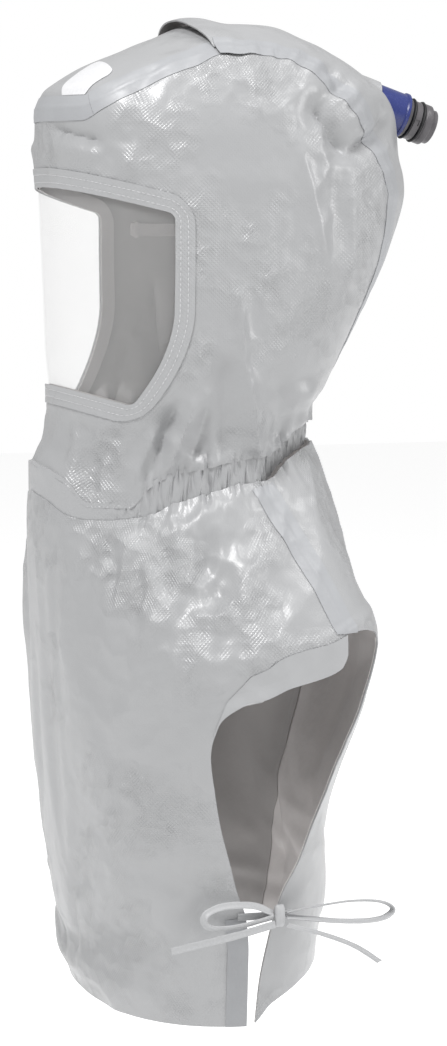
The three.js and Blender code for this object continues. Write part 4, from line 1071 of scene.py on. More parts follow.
def hood_cloth():
    cloth = bpy.context.scene.hood_cloth
    us, vs = np.linspace(0, 2 * math.pi, 220, endpoint=False), np.linspace(0.04, 1, 110)
    settle("hood", hood_point, us, vs, True, hood_hold, cloth.growth / 3, cloth.drift_cap / 3)
    us = np.linspace(0, 2 * math.pi, 380, endpoint=False)
    body = grid(us, np.linspace(0.15, 1, 130), True)
    body = cut(body, lambda angle, v: crown_seam(angle, v)[0] - GAP / 2)
    body = cut(body, lambda angle, v: visor_margin(*np.moveaxis(hood_base(angle, v)[..., 1:], -1, 0)))
    weave = round_weave(HOOD_SIDE)
    cloth_piece(
        "hood_cloth", body, hood_point, look("cloth"), "cloth", "hood_body", cloth.thickness, weave, look("inside")
    )
    crown = cut(grid(np.linspace(0, 2 * math.pi, 220, endpoint=False), np.linspace(0.002, 0.44, 90), True), crown_inside(-GAP / 2))
    front = cut(crown, lambda angle, v: pleat_distance(angle, v, PLEAT_OVERLAP))
    cloth_piece(
        "crown_front_cloth", front, hood_point, look("cloth"), "cloth", "crown_front_panel", cloth.thickness,
        plan_weave, look("inside"),
    )
    rear = cut(grid(us, np.linspace(0.002, 1, 170), True, True), crown_inside(-GAP / 2))
    rear = cut(rear, lambda angle, v: -pleat_distance(angle, v, 0))
    rear = cut(rear, lambda angle, v: inlet_clearance(hood_base(angle, v)))
    cloth_piece(
        "crown_rear_cloth", rear, rear_point, look("cloth"), "cloth", "crown_rear_panel", cloth.thickness,
        plan_weave, look("inside"),
    )


def pleat_distance(angle, v, shift):
    """Above 0 ahead of the pleat's edge, moved back by shift."""
    point = hood_base(angle, v)
    return pleat_edge(point[..., 0]) + shift - point[..., 1]


def rear_point(angle, v, lift=0.0):
    base = hood_base(angle, v)
    return over_duct(hood_point(angle, v, pleat_lift(base) + lift))


def ridge(width):
    """The seam shows through its tape as a low ridge along the middle."""
    return 0.0005 * np.exp(-((width / 0.0015) ** 2))


def seam_tapes():
    widths = np.linspace(-TAPE_WIDTH / 2, TAPE_WIDTH / 2, 13)
    height = ridge(widths)

    def tape(name, node, places, run, point):
        patch = strip(places, run, widths)
        raised = np.tile(height, len(run))
        points = point(patch[0][:, 0], patch[0][:, 1], GAP / 2 + TAPE + raised)
        made = make_object(name, points, patch[1])
        made.data.materials.append(look("tape"))
        thickened(made, TAPE)
        dressed(made, "tape", node)

    def brow(run, width):
        side = np.where(run < 0, -1.0, 1.0)
        return seam_places(np.abs(run), side, width)

    tape("brow_seam_tape", "brow_tape", brow, np.linspace(-BROW_END, BROW_END, 90), hood_point)
    for label, side in SIDES:
        one = side * np.ones(1)
        places = lambda run, width: seam_places(run, one, width)
        start = pleat_round()
        tape(
            f"front_seam_tape_{label}", f"crown_front_tape_{label}", places,
            np.linspace(BROW_END + 0.0003, start - 0.003, 70), hood_point,
        )
        tape(
            f"rear_seam_tape_{label}", f"crown_rear_tape_{label}", places,
            np.linspace(start + 0.001, 0.965, 200), rear_point,
        )


def pleat_round():
    """Share of the way round the crown seam where the pleat's edge crosses it."""
    ahead = SEAM_LINE[:, 1] < pleat_edge(SEAM_LINE[:, 0])
    return SEAM_ROUND[np.nonzero(~ahead)[0][0]]


def patch_margin(angle, v):
    """Above 0 within the bare patch's outline, seen from above."""
    point = hood_base(angle, v)
    x, y = point[..., 0] - PATCH_X, point[..., 1]
    along_patch = np.clip((y - PATCH_FRONT_Y) / (PATCH_BACK_Y - PATCH_FRONT_Y), 0, 1)
    half = PATCH_WIDTH / 2 * (0.42 + 0.58 * np.sqrt(along_patch))
    skew = PATCH_WIDTH * 0.1 * (1 - along_patch)
    sides = half - np.abs(x - skew)
    ends = np.minimum(y - PATCH_FRONT_Y, PATCH_BACK_Y - y)
    corner = 0.007
    reach = np.hypot(np.maximum(corner - sides, 0), np.maximum(corner - ends, 0))
    inside = np.minimum(np.minimum(sides, ends), corner)
    return np.where((sides < corner) & (ends < corner), corner - reach, inside)


def brow_patch():
    patch = grid(np.linspace(math.radians(-4), math.radians(56), 110), np.linspace(0.2, 0.37, 70))
    patch = cut(patch, patch_margin)
    tape_top = lambda angle, v: -crown_seam(angle, v)[0] - TAPE_WIDTH / 2 - GAP
    patch = cut(patch, tape_top)
    place = lambda angle, v: hood_point(angle, v, GAP + PATCH_THICKNESS)
    cloth_piece("bare_patch", patch, place, look("patch"), "patch", "brow_patch", PATCH_THICKNESS, plan_weave)


def visor_value(low, high):
    """Above 0 where the distance outside the visor opening lies between low and high."""

    def value(angle, v):
        margin = visor_margin(*np.moveaxis(hood_base(angle, v)[..., 1:], -1, 0))
        return np.minimum(margin - low, high - margin)

    return value


def face_grid(step=1.0):
    reach = math.radians(88)
    return grid(np.linspace(-reach, reach, int(190 * step)), np.linspace(0.3, 0.97, int(150 * step)))


def visor_ring(margin, count):
    """Evenly spaced places round the visor opening, a given distance outside it."""
    turns = np.linspace(0, 2 * math.pi, 720, endpoint=False)
    middle, reach_u, reach_v = 0.585, math.radians(85), 0.33
    near, far = np.zeros(len(turns)), np.full(len(turns), 1.25)
    value = visor_value(margin, 1.0)
    for _ in range(40):
        here = (near + far) / 2
        outside = value(here * np.cos(turns) * reach_u, middle + here * np.sin(turns) * reach_v) > 0
        far, near = np.where(outside, here, far), np.where(outside, near, here)
    u, v = near * np.cos(turns) * reach_u, middle + near * np.sin(turns) * reach_v
    points = face_point(u, v)
    lengths = np.linalg.norm(np.roll(points, -1, 0) - points, axis=1)
    run = np.concatenate([[0], np.cumsum(lengths)])
    at = np.linspace(0, run[-1], count, endpoint=False)
    return (
        np.interp(at, run, np.append(u, u[0])),
        np.interp(at, run, np.append(v, v[0])),
        run[-1],
    )


def visor_window():
    sheet = cut(face_grid(0.6), visor_value(-1.0, VISOR_TUCK))
    place = lambda angle, v: face_point(angle, v, -CLOTH - GAP)
    cloth_piece(
        "visor_sheet", sheet, place, look("visor"), "visor", "visor", VISOR_THICKNESS, round_weave(HOOD_SIDE)
    )
    border = cut(face_grid(), visor_value(-0.0006, BINDING_WIDTH))

    def raised(angle, v):
        margin = visor_margin(*np.moveaxis(hood_base(angle, v)[..., 1:], -1, 0))
        pull = waves(angle * HOOD_SIDE - hood_base(angle, v)[..., 2], (0.0061, 0.0093), 0.7)
        rows = np.exp(-(((margin - 0.0035) / 0.0012) ** 2)) + np.exp(-(((margin - 0.0095) / 0.0012) ** 2))
        lift = GAP + BINDING_THICKNESS * (1 - 0.35 * rows) + 0.00025 * pull
        return face_point(angle, v, lift)

    cloth_piece(
        "visor_border", border, raised, look("binding"), "cloth", "visor_binding", BINDING_THICKNESS,
        round_weave(HOOD_SIDE),
    )
    # The border's inside takes the lightened copy of the inside colour, which is painted light
    inside = cut(face_grid(), visor_value(-0.0006, BINDING_WIDTH * 0.8))
    place = lambda angle, v: face_point(angle, v, -CLOTH - VISOR_THICKNESS - 2 * GAP)
    cloth_piece(
        "visor_border_inside", inside, place, look("painted_light_inner_border"), "cloth", "visor_binding", BINDING_THICKNESS,
        round_weave(HOOD_SIDE),
    )
    for label, side in SIDES:
        start = VISOR_SIDE_Y + VISOR_TUCK + 0.020
        patch = grid(side * np.linspace(math.radians(60), math.radians(120), 80), np.linspace(0.5, 0.64, 40))

        def inner(angle, v):
            point = hood_base(angle, v)
            level = STRAP_HEIGHT / 2 - np.abs(point[..., 2] - STRAP_Z)
            return np.minimum(np.minimum(point[..., 1] - start, start + STRAP_LENGTH - point[..., 1]), level)

        # The straps and their stops take the lightened inside colour too, as painted light
        place = lambda angle, v: hood_point(angle, v, -CLOTH - 0.0012)
        cloth_piece(
            f"inner_band_{label}", cut(patch, inner), place, look("painted_light_inner_border"), "tape", f"inner_strap_{label}",
            0.001, round_weave(HOOD_SIDE),
        )
        def stop(angle, v):
            point = hood_base(angle, v)
            level = STRAP_HEIGHT * 0.68 - np.abs(point[..., 2] - STRAP_Z)
            return np.minimum(0.0022 - np.abs(point[..., 1] - start - 0.005), level)

        place = lambda angle, v: hood_point(angle, v, -CLOTH - 0.0026)
        cloth_piece(
            f"inner_stop_{label}", cut(patch, stop), place, look("painted_light_inner_border"), "tape", f"inner_strap_{label}", 0.0012,
            round_weave(HOOD_SIDE),
        )


def inner_collar():
    """The loose cloth that gathers round the neck inside the hood."""
    uv, faces = grid(np.linspace(0, 2 * math.pi, 300, endpoint=False), np.linspace(0, 1, 30), True)
    angle, t = uv[:, 0], uv[:, 1]
    degrees = signed_degrees(angle)
    radius = neck_radius(angle) * (0.84 - 0.24 * t) + 0.004 * waves(degrees, (23, 37, 11), 0.6) * t
    low = neck_height(angle, "hem") - 0.004
    high = -0.322 + 0.004 * waves(degrees, (71, 43, 29), 1.1)
    z = low + (high - low) * np.sin(t * math.pi / 2) ** 0.7
    points = np.stack([radius * np.sin(angle), -radius * np.cos(angle), z], 1)
    made = make_object("inner_collar", points, faces, np.stack([np.radians(degrees) * HOOD_SIDE, z], 1))
    made.data.materials.append(look("inside"))
    thickened(made, BAND_THICKNESS)
    dressed(made, "cloth", "neck_band")


def band_point(angle, t):
    top = neck_height(angle, "hem") + BAND_TUCK
    bottom = neck_height(angle, "seam") - BAND_TUCK
    drawn = smooth(34, 50, degrees_from_front(angle))
    across = signed_degrees(angle) + 0.5 * np.sin(4 * t + signed_degrees(angle))
    ragged = 0.6 + 0.4 * np.sin(signed_degrees(angle) * 0.7 + 7 * t)
    fine = 0.0013 * waves(across, (1.9, 2.9, 1.3), 0.9) * drawn * ragged
    degrees = degrees_from_front(angle)
    recess = BAND_RECESS + 0.009 * smooth(97, 110, degrees) * (1 - smooth(150, 170, degrees))
    radius = neck_radius(angle) - recess + gather(angle) * (1 - 0.2 * t) + fine
    return np.stack([radius * np.sin(angle), -radius * np.cos(angle), top + (bottom - top) * t], -1)


def neck_band():
    patch = grid(np.linspace(0, 2 * math.pi, 1500, endpoint=False), np.linspace(0, 1, 24), True)
    weave = round_weave(HOOD_SIDE)
    cloth_piece("ruffled_band", patch, band_point, look("binding"), "cloth", "neck_band", BAND_THICKNESS, weave)
    inner_collar()


def panel_value(edge, front, inset=0.0):
    """Above 0 within a cape panel's side edges."""

    def value(angle, s):
        side = along(CAPE, "at", edge, s)
        degrees = degrees_from_front(angle)
        return (side - degrees if front else degrees - side) - inset

    return value


def cape():
    cloth = bpy.context.scene.hood_cloth
    panels = (
        ("front", "front_edge", True, math.radians(-116), math.radians(116), 240, "front_bib"),
        ("back", "back_edge", False, math.radians(86), math.radians(274), 190, "back_bib"),
    )
    for label, edge, front, low, high, columns, node in panels:
        us, vs = np.linspace(low, high, int(columns * 0.7)), np.linspace(0, 1, 120)
        settle(f"cape_{label}", cape_point, us, vs, False, cape_hold(edge), cloth.growth, cloth.drift_cap)
        patch = cut(grid(np.linspace(low, high, columns), np.linspace(0, 1, 170)), panel_value(edge, front, 0.12))
        # The back panel's inside takes the lightened copy of the inside colour, which is painted light
        made = cloth_piece(
            f"cape_{label}", patch, cape_point, look("cape_cloth"), "cloth", node, cloth.thickness,
            round_weave(CAPE_SIDE), look("inside" if front else "painted_light_back_inside"),
        )
    for label, side in SIDES:
        hem_strip(f"front_hem_{label}", f"front_side_hem_{label}", "front_edge", side, -1, 0.0175, 0.79, GAP + TAPE, "hem")
        # Painted light and shade on the back hems' insides: the near hem takes the lightened inside colour, the far
        # hem a darkened copy
        inner = "painted_light_back_inside" if side > 0 else "painted_shade_inner_hem"
        hem_strip(f"back_hem_{label}", f"back_side_hem_{label}", "back_edge", side, 1, 0.135, 0.345, -CLOTH - GAP, inner)
        sleeve_hem(label, side)
        shoulder_tape(label, side)


def hem_strip(name, node, edge, side, inwards, width, start, lift, cloth):
    """A folded hem along a panel's side edge."""

    def places(run, across):
        angle = np.radians(along(CAPE, "at", edge, run) + inwards * 0.12)
        radius = np.linalg.norm(cape_base(angle, run)[..., :2], axis=-1)
        return side * (angle + inwards * across / radius), run

    patch = strip(places, np.linspace(start, 1, 150), np.linspace(0, width, 16))
    place = lambda angle, s: cape_point(angle, s, lift)
    cloth_piece(name, patch, place, look(cloth), "tape", node, TAPE, round_weave(CAPE_SIDE))


def sleeve_crease(degrees):
    """Share of the way down where the cloth folds over the edge of the shoulder."""
    return np.interp(degrees, [76, 79, 85, 92, 100, 110], [0.425, 0.366, 0.326, 0.309, 0.303, 0.300])


def sleeve_hem(label, side):
    """The smooth hem that hangs below the shoulder's crease."""
    edge = panel_value("front_edge", True, 0.1)
    patch = grid(side * np.radians(np.linspace(76, 112, 90)), np.linspace(0.29, 0.45, 90))
    patch = cut(patch, edge)
    patch = cut(patch, lambda angle, s: s - sleeve_crease(degrees_from_front(angle)))
    place = lambda angle, s: cape_point(angle, s, GAP + TAPE)
    points = place(patch[0][:, 0], patch[0][:, 1])
    made = make_object(f"sleeve_hem_{label}", points, patch[1])
    made.data.materials.append(look("sleeve_hem"))
    thickened(made, TAPE)
    dressed(made, "tape")


def shoulder_tape(label, side):
    widths = np.linspace(-TAPE_WIDTH / 2, TAPE_WIDTH / 2, 13)

    def places(run, width):
        step = 0.005
        angle = np.radians(along(CAPE, "at", "front_edge", run))
        turn = np.radians(
            along(CAPE, "at", "front_edge", run + step) - along(CAPE, "at", "front_edge", run - step)
        )
        return sideways(cape_base, side * angle, run, side * turn, 0 * run + 2 * step, width)

    run = np.linspace(0.01, SHOULDER_END + 0.006, 90)
    patch = strip(places, run, widths)
    lift = GAP + TAPE + np.tile(ridge(widths), len(run))
    made = make_object(f"shoulder_seam_tape_{label}", cape_point(*patch[0].T, lift), patch[1])
    made.data.materials.append(look("tape"))
    thickened(made, TAPE)
    dressed(made, "tape", f"shoulder_tape_{label}")


def stitch_group():
    """Short thread stitches along a curve."""
    group = bpy.data.node_groups.new("Stitches", "GeometryNodeTree")
    socket = group.interface.new_socket
    socket("Path", in_out="INPUT", socket_type="NodeSocketGeometry")
    for name, default in (("Spacing", 0.004), ("Length", 0.0026), ("Thickness", 0.0004)):
        made = socket(name, in_out="INPUT", socket_type="NodeSocketFloat")
        made.default_value = default
        made.subtype = "DISTANCE"
    socket("Thread", in_out="INPUT", socket_type="NodeSocketMaterial")
    socket("Stitches", in_out="OUTPUT", socket_type="NodeSocketGeometry")
    new, link = group.nodes.new, group.links.new
    inside, outside = new("NodeGroupInput"), new("NodeGroupOutput")
    points = new("GeometryNodeCurveToPoints")
    points.mode = "LENGTH"
    stitch = new("GeometryNodeMeshCylinder")
    stitch.inputs["Vertices"].default_value = 6
    turn = new("GeometryNodeTransform")
    copies = new("GeometryNodeInstanceOnPoints")
    real = new("GeometryNodeRealizeInstances")
    finish = new("GeometryNodeSetMaterial")
    link(inside.outputs["Path"], points.inputs["Curve"])
    link(inside.outputs["Spacing"], points.inputs["Length"])
    link(inside.outputs["Thickness"], stitch.inputs["Radius"])
    link(inside.outputs["Length"], stitch.inputs["Depth"])
    link(stitch.outputs["Mesh"], turn.inputs["Geometry"])
    link(points.outputs["Points"], copies.inputs["Points"])
    link(turn.outputs["Geometry"], copies.inputs["Instance"])
    link(points.outputs["Rotation"], copies.inputs["Rotation"])
    link(copies.outputs["Instances"], real.inputs["Geometry"])
    link(real.outputs["Geometry"], finish.inputs["Geometry"])
    link(inside.outputs["Thread"], finish.inputs["Material"])
    link(finish.outputs["Geometry"], outside.inputs["Stitches"])
    return group


def stitch_line(name, points, closed, slot="cloth"):
    """Sews a line of stitches along a row of points."""
    cloth = bpy.context.scene.hood_cloth
    curve = bpy.data.curves.new(name, "CURVE")
    curve.dimensions = "3D"
    spline = curve.splines.new("POLY")
    spline.points.add(len(points) - 1)
    spline.points.foreach_set("co", np.append(points, np.ones((len(points), 1)), 1).ravel())
    spline.use_cyclic_u = closed
    line = bpy.data.objects.new(f"{name}_path", curve)
    bpy.context.scene.collection.objects.link(line)
    group = bpy.data.node_groups.get("Stitches") or stitch_group()
    sewing = line.modifiers.new("Sewing", "NODES")
    sewing.node_group = group
    values = {
        "Spacing": cloth.stitch_spacing,
        "Length": cloth.stitch_length,
        "Thickness": cloth.stitch_thickness,
        "Thread": look("thread"),
    }
    for item in group.interface.items_tree:
        if item.in_out == "INPUT" and item.name in values:
            sewing[item.identifier] = values[item.name]
    mesh = bpy.data.meshes.new_from_object(line.evaluated_get(bpy.context.evaluated_depsgraph_get()))
    bpy.data.objects.remove(line)
    made = bpy.data.objects.new(name, mesh)
    mesh.name = name
    bpy.context.scene.collection.objects.link(made)
    mesh.shade_smooth()
    return dressed(made, slot)


def stitches():
    for label, margin, lift in (
        ("visor_stitches_near", 0.0035, GAP + BINDING_THICKNESS * 0.75),
        ("visor_stitches_far", 0.0095, GAP + BINDING_THICKNESS * 0.75),
        ("visor_stitches_inside", 0.0035, -CLOTH - GAP - VISOR_THICKNESS - 0.0001),
    ):
        u, v, _ = visor_ring(margin, 900)
        stitch_line(label, face_point(u, v, lift + 0 * u), True)


def ribbon(points, side, lean, width, thickness):
    """A flat strap along a route, with a sewn groove along its middle."""
    points = np.array(points)
    route = catmull(points, 14)
    run = np.concatenate([[0], np.cumsum(np.linalg.norm(np.diff(route, axis=0), axis=1))])
    count = max(8, int(run[-1] / 0.0018))
    at = np.linspace(0, run[-1], count)
    middle = np.stack([np.interp(at, run, route[:, k]) for k in range(3)], 1)
    travel = np.gradient(middle, axis=0)
    travel /= np.linalg.norm(travel, axis=1, keepdims=True)
    out = np.array([side, 0.0, 0.0])
    level = np.cross(out, travel) * side
    level /= np.linalg.norm(level, axis=1, keepdims=True)
    wide = level * math.sin(lean) + out * math.cos(lean)
    face = np.cross(wide, travel) * side
    face /= np.linalg.norm(face, axis=1, keepdims=True)
    half, deep = width / 2, thickness / 2
    lower = [(-1, -0.6), (-0.86, -1), (-0.56, -0.9), (-0.3, -0.4), (0.3, -0.4), (0.56, -0.9), (0.86, -1), (1, -0.6)]
    section = lower + [(-a, -b) for a, b in lower]
    wobble = 1 + 0.05 * waves(at, (0.013, 0.029), 1.7)
    rings = [
        middle + wide * (a * half * wobble)[:, None] + face * (b * deep)
        for a, b in section
    ]
    verts = np.stack(rings, 1).reshape(-1, 3)
    n = len(section)
    faces = [
        (j * n + i, j * n + (i + 1) % n, (j + 1) * n + (i + 1) % n, (j + 1) * n + i)
        for j in range(count - 1)
        for i in range(n)
    ]
    faces += [tuple(range(n))[::-1], tuple((count - 1) * n + i for i in range(n))]
    return verts, faces


def catmull(points, steps):
    """A smooth route through a few points."""
    padded = np.vstack([2 * points[0] - points[1], points, 2 * points[-1] - points[-2]])
    route = []
    for a, b, c, d in zip(padded, padded[1:], padded[2:], padded[3:]):
        for t in np.linspace(0, 1, steps, endpoint=False):
            route.append(
                0.5 * (2 * b + (c - a) * t + (2 * a - 5 * b + 4 * c - d) * t**2 + (3 * b - a - 3 * c + d) * t**3)
            )
    return np.array(route + [points[-1]])


def solid_piece(name, verts, faces, material, slot, *nodes):
    """A closed mesh with its faces turned out."""
    made = make_object(name, verts, faces)
    shell = bmesh.new()
    shell.from_mesh(made.data)
    bmesh.ops.recalc_face_normals(shell, faces=shell.faces)
    shell.to_mesh(made.data)
    shell.free()
    made.data.materials.append(material)
    made.data.shade_smooth()
    made.data.set_sharp_from_angle(angle=math.radians(38))
    return dressed(made, slot, *nodes)


def ties():
    ties_settings = bpy.context.scene.hood_cloth
    for label, side in SIDES:
        low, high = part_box(f"tie_knot_{label}")
        centre = np.array((low + high) / 2)
        half = np.array((high - low) / 2)
        for route, places in TIE_ROUTES.items():
            lean = math.radians(TIE_LEANS[route])
            points = [centre + np.array([side * out, back, up]) for out, back, up in places]
            verts, faces = ribbon(points, side, lean, ties_settings.tie_width, TIE_THICKNESS)
            solid_piece(f"tie_{route}_strap_{label}", verts, faces, look("tie"), "cloth", f"tie_{route}_{label}")
        for way, back in (("front", -1), ("back", 1)):
            low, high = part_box(f"tie_tab_{way}_{label}")
            middle = (low + high) / 2
            outer, inner = (high.x, low.x) if side > 0 else (low.x, high.x)
            ends = (low.y, high.y) if back < 0 else (high.y, low.y)
            start, end = np.array([inner, ends[0], TIE_Z]), np.array([outer, ends[1], TIE_Z])
            if abs(centre[0] - inner) < abs(centre[0] - outer):
                start[0], end[0] = outer, inner
            points = [start, (start + end) / 2, end]
            verts, faces = ribbon(points, side, math.radians(TIE_LEANS["tab"]), ties_settings.tie_width, TIE_THICKNESS)
            solid_piece(f"tie_{way}_tab_{label}", verts, faces, look("tie"), "cloth", f"tie_tab_{way}_{label}")
        knot(label, side, centre, half)


def knot(label, side, centre, half):
    """A turn of strap pulled tight round the others."""
    turns, rows = np.linspace(0, 2 * math.pi, 48, endpoint=False), np.linspace(-1, 1, 17)
    verts = []
    for row in rows:
        shrink = (1 - abs(row) ** 3.2) ** 0.5 if abs(row) < 1 else 0.0
        pinch = 0.62 + 0.38 * shrink
        crease = 1 + 0.05 * np.cos(3 * turns + 4 * row)
        x = half[0] * pinch * np.cos(turns) * crease
        z = half[2] * pinch * np.sin(turns) * (1 + 0.04 * np.cos(2 * turns + 3 * row))
        y = half[1] * (row + 0.10 * np.sin(turns) * (1 - row * row))
        verts += list(centre + np.stack([x, y, z], 1))
    n = len(turns)
    faces = [
        (j * n + i, j * n + (i + 1) % n, (j + 1) * n + (i + 1) % n, (j + 1) * n + i)
        for j in range(len(rows) - 1)
        for i in range(n)
    ]
    faces += [tuple(range(n)), tuple((len(rows) - 1) * n + i for i in range(n))]
    solid_piece(f"bow_knot_{label}", np.array(verts), faces, look("tie"), "cloth", f"tie_knot_{label}")


# Air inlet


def turned(name, profile, material, slot, *nodes, cuts=()):
    """A closed profile of (radius, distance along the inlet's axis), turned about that axis."""
    count = 96
    place = Matrix.Translation((0, INLET_Y, INLET_Z)) @ Matrix.Rotation(-math.pi / 2 - INLET_TILT, 4, "X")
    turns = np.linspace(0, 2 * math.pi, count, endpoint=False)
    verts = [(r * math.cos(a), r * math.sin(a), z) for a in turns for r, z in profile]
    n = len(profile)
    faces = [
        (i * n + k, ((i + 1) % count) * n + k, ((i + 1) % count) * n + (k + 1) % n, i * n + (k + 1) % n)
        for i in range(count)
        for k in range(n)
    ]
    made = make_object(name, verts, faces)
    shell = bmesh.new()
    shell.from_mesh(made.data)
    bmesh.ops.recalc_face_normals(shell, faces=shell.faces)
    shell.to_mesh(made.data)
    shell.free()
    for cutter in cuts:
        hollow = made.modifiers.new("Cut", "BOOLEAN")
        hollow.object = cutter
        hollow.solver = "EXACT"
    if cuts:
        finished(made)
        for cutter in cuts:
            bpy.data.objects.remove(cutter)
    made.data.transform(place)
    made.data.materials.clear()
    made.data.materials.append(material)
    made.data.shade_smooth()
    made.data.set_sharp_from_angle(angle=math.radians(30))
    return dressed(made, slot, *nodes)


def eased(profile, ease):
    """Rounds the corners of a closed profile with two short chamfers each."""
    points = [np.array(p, float) for p in profile]
    out = []
    for before, here, after in zip(points[-1:] + points[:-1], points, points[1:] + points[:1]):
        for other, share in ((before, 1.0), (after, 1.0)):
            reach = min(ease, np.linalg.norm(other - here) * 0.4)
            out.append(tuple(here + (other - here) / np.linalg.norm(other - here) * reach * share))
    return out


def block(size, centre, turn):
    mesh = bpy.data.meshes.new("cutter")
    box = bmesh.new()
    bmesh.ops.create_cube(box, size=1.0)
    bmesh.ops.scale(box, vec=size, verts=box.verts)
    bmesh.ops.translate(box, vec=centre, verts=box.verts)
    bmesh.ops.rotate(box, matrix=Matrix.Rotation(turn, 3, "Z"), verts=box.verts)
    box.to_mesh(mesh)
    box.free()
    made = bpy.data.objects.new("cutter", mesh)
    bpy.context.scene.collection.objects.link(made)
    return made


def air_inlet():
    rim, rim_length = 0.0012, 0.003
    barrel = [
        (DUCT_BORE, -DUCT_INSIDE),
        (DUCT_OUTER, -DUCT_INSIDE),
        (DUCT_OUTER, DUCT_OUTSIDE - rim_length),
        (DUCT_OUTER + rim, DUCT_OUTSIDE - rim_length),
        (DUCT_OUTER + rim, DUCT_OUTSIDE),
        (DUCT_BORE, DUCT_OUTSIDE),
    ]
    turned("duct_barrel", eased(barrel, 0.0005), look("duct"), "duct", "inlet_duct")
    flange = cut(
        grid(np.linspace(math.radians(165), math.radians(195), 60), np.linspace(0.2, 0.6, 90)),
        lambda angle, v: FLANGE_RADIUS - inlet_distance(hood_base(angle, v)),
    )
    flange = cut(flange, lambda angle, v: inlet_distance(hood_base(angle, v)) - DUCT_OUTER - 0.0002)
    place = lambda angle, v: face_point(angle, v, -CLOTH - GAP)
    cloth_piece("duct_flange", flange, place, look("duct"), "duct", "inlet_duct", 0.0018, plan_weave)
    start = DUCT_OUTSIDE + GAP
    end = start + CONNECTOR_LENGTH
    seats = [start + share * CONNECTOR_LENGTH for share in (0.18, 0.5)]
    collar_end = end - 0.005
    floor = CONNECTOR_RADIUS - 0.0016
    grooves = []
    for seat in seats:
        half = SEAL_WIDTH / 2 + 0.0002
        grooves += [(CONNECTOR_RADIUS, seat - half), (floor, seat - half), (floor, seat + half)]
        grooves += [(CONNECTOR_RADIUS, seat + half)]
    profile = [
        (CONNECTOR_BORE, start - 0.007),
        (DUCT_BORE - GAP, start - 0.007),
        (DUCT_BORE - GAP, start),
        (CONNECTOR_RADIUS, start),
        *grooves,
        (CONNECTOR_RADIUS, collar_end - 0.0065),
        (CONNECTOR_RADIUS + 0.0006, collar_end - 0.0059),
        (CONNECTOR_RADIUS + 0.0006, collar_end - 0.0006),
        (STUB_RADIUS, collar_end),
        (STUB_RADIUS, end),
        (CONNECTOR_BORE, end),
    ]
    middle = (seats[0] + seats[1]) / 2
    deep, wide, long = 0.004, 0.0012, 0.005
    radius = CONNECTOR_RADIUS - 0.0009 + deep / 2
    turn = math.radians(10)
    cutters = (
        block((deep, long, wide), (radius, 0, middle + wide), turn),
        block((deep, wide, 3 * wide), (radius, (wide - long) / 2, middle), turn),
    )
    turned(
        "hose_connector", eased(profile, 0.00035), look("connector"), "connector", "inlet_connector", cuts=cutters
    )
    for number, seat in enumerate(seats, 1):
        half, reach = SEAL_WIDTH / 2, SEAL_RADIUS - floor - 0.0002
        arc = [
            (floor + 0.0002 + reach * math.cos(a), seat + half * math.sin(a))
            for a in np.linspace(-math.pi / 2, math.pi / 2, 9)
        ]
        turned(f"seal_{number}", arc, look("seal"), "seal", f"seal_ring_{number}")


# Stage


def area_light(name, place, target, size, power):
    light = bpy.data.lights.new(name, "AREA")
    light.shape = "RECTANGLE"
    light.size, light.size_y = size
    light.energy = power
    made = bpy.data.objects.new(name, light)
    made.location = place
    made.rotation_mode = "QUATERNION"
    made.rotation_quaternion = (Vector(target) - Vector(place)).to_track_quat("-Z", "Y")
    bpy.context.scene.collection.objects.link(made)


def stage():
    settings = bpy.context.scene.hood_stage
    reach, level = 9.0, -1.15
    floor = make_object(
        "floor",
        [(-reach, -reach, level), (reach, -reach, level), (reach, reach, level), (-reach, reach, level)],
        [(0, 1, 2, 3)],
    )
    pale = Nodes("pale_floor")
    pale.set(Base_Color=shade(settings.floor_colour, 1.0), Roughness=0.9, Emission_Color=(1, 1, 1, 1))
    pale.set(Emission_Strength=settings.floor_glow)
    floor.data.materials.append(pale.material)
    world = bpy.data.worlds.new("studio")
    world.use_nodes = True
    tree = world.node_tree
    room, backdrop, ray, pick = (
        tree.nodes["Background"], tree.nodes.new("ShaderNodeBackground"),
        tree.nodes.new("ShaderNodeLightPath"), tree.nodes.new("ShaderNodeMixShader"),
    )
    room.inputs["Color"].default_value = backdrop.inputs["Color"].default_value = (1, 1, 1, 1)
    room.inputs["Strength"].default_value = settings.world_strength
    tree.links.new(ray.outputs["Is Camera Ray"], pick.inputs[0])
    tree.links.new(room.outputs[0], pick.inputs[1])
    tree.links.new(backdrop.outputs[0], pick.inputs[2])
    tree.links.new(pick.outputs[0], tree.nodes["World Output"].inputs["Surface"])
    bpy.context.scene.world = world
    centre = (0, 0, -0.4)
    area_light("key", (1.0, -1.3, 2.3), centre, (0.7, 0.9), settings.key_power)
    area_light("side", (1.7, 2.6, 0.5), centre, (0.4, 1.6), settings.side_power)
    area_light("top", (0.9, 0.9, 2.3), centre, (0.8, 0.8), settings.top_power)
    camera = bpy.data.cameras.new("photo_camera")
    camera.sensor_width = 36
    camera.lens = settings.lens
    camera.clip_start, camera.clip_end = 0.05, 60
    made = bpy.data.objects.new("photo_camera", camera)
    made.location = (2.2412, -0.7072, -0.1593)
    made.rotation_mode = "QUATERNION"
    made.rotation_quaternion = Vector((-0.94521, 0.30712, -0.11072)).to_track_quat("-Z", "Y")
    bpy.context.scene.collection.objects.link(made)
    bpy.context.scene.camera = made
    bpy.context.scene.view_settings.view_transform = "Standard"


# The add-on


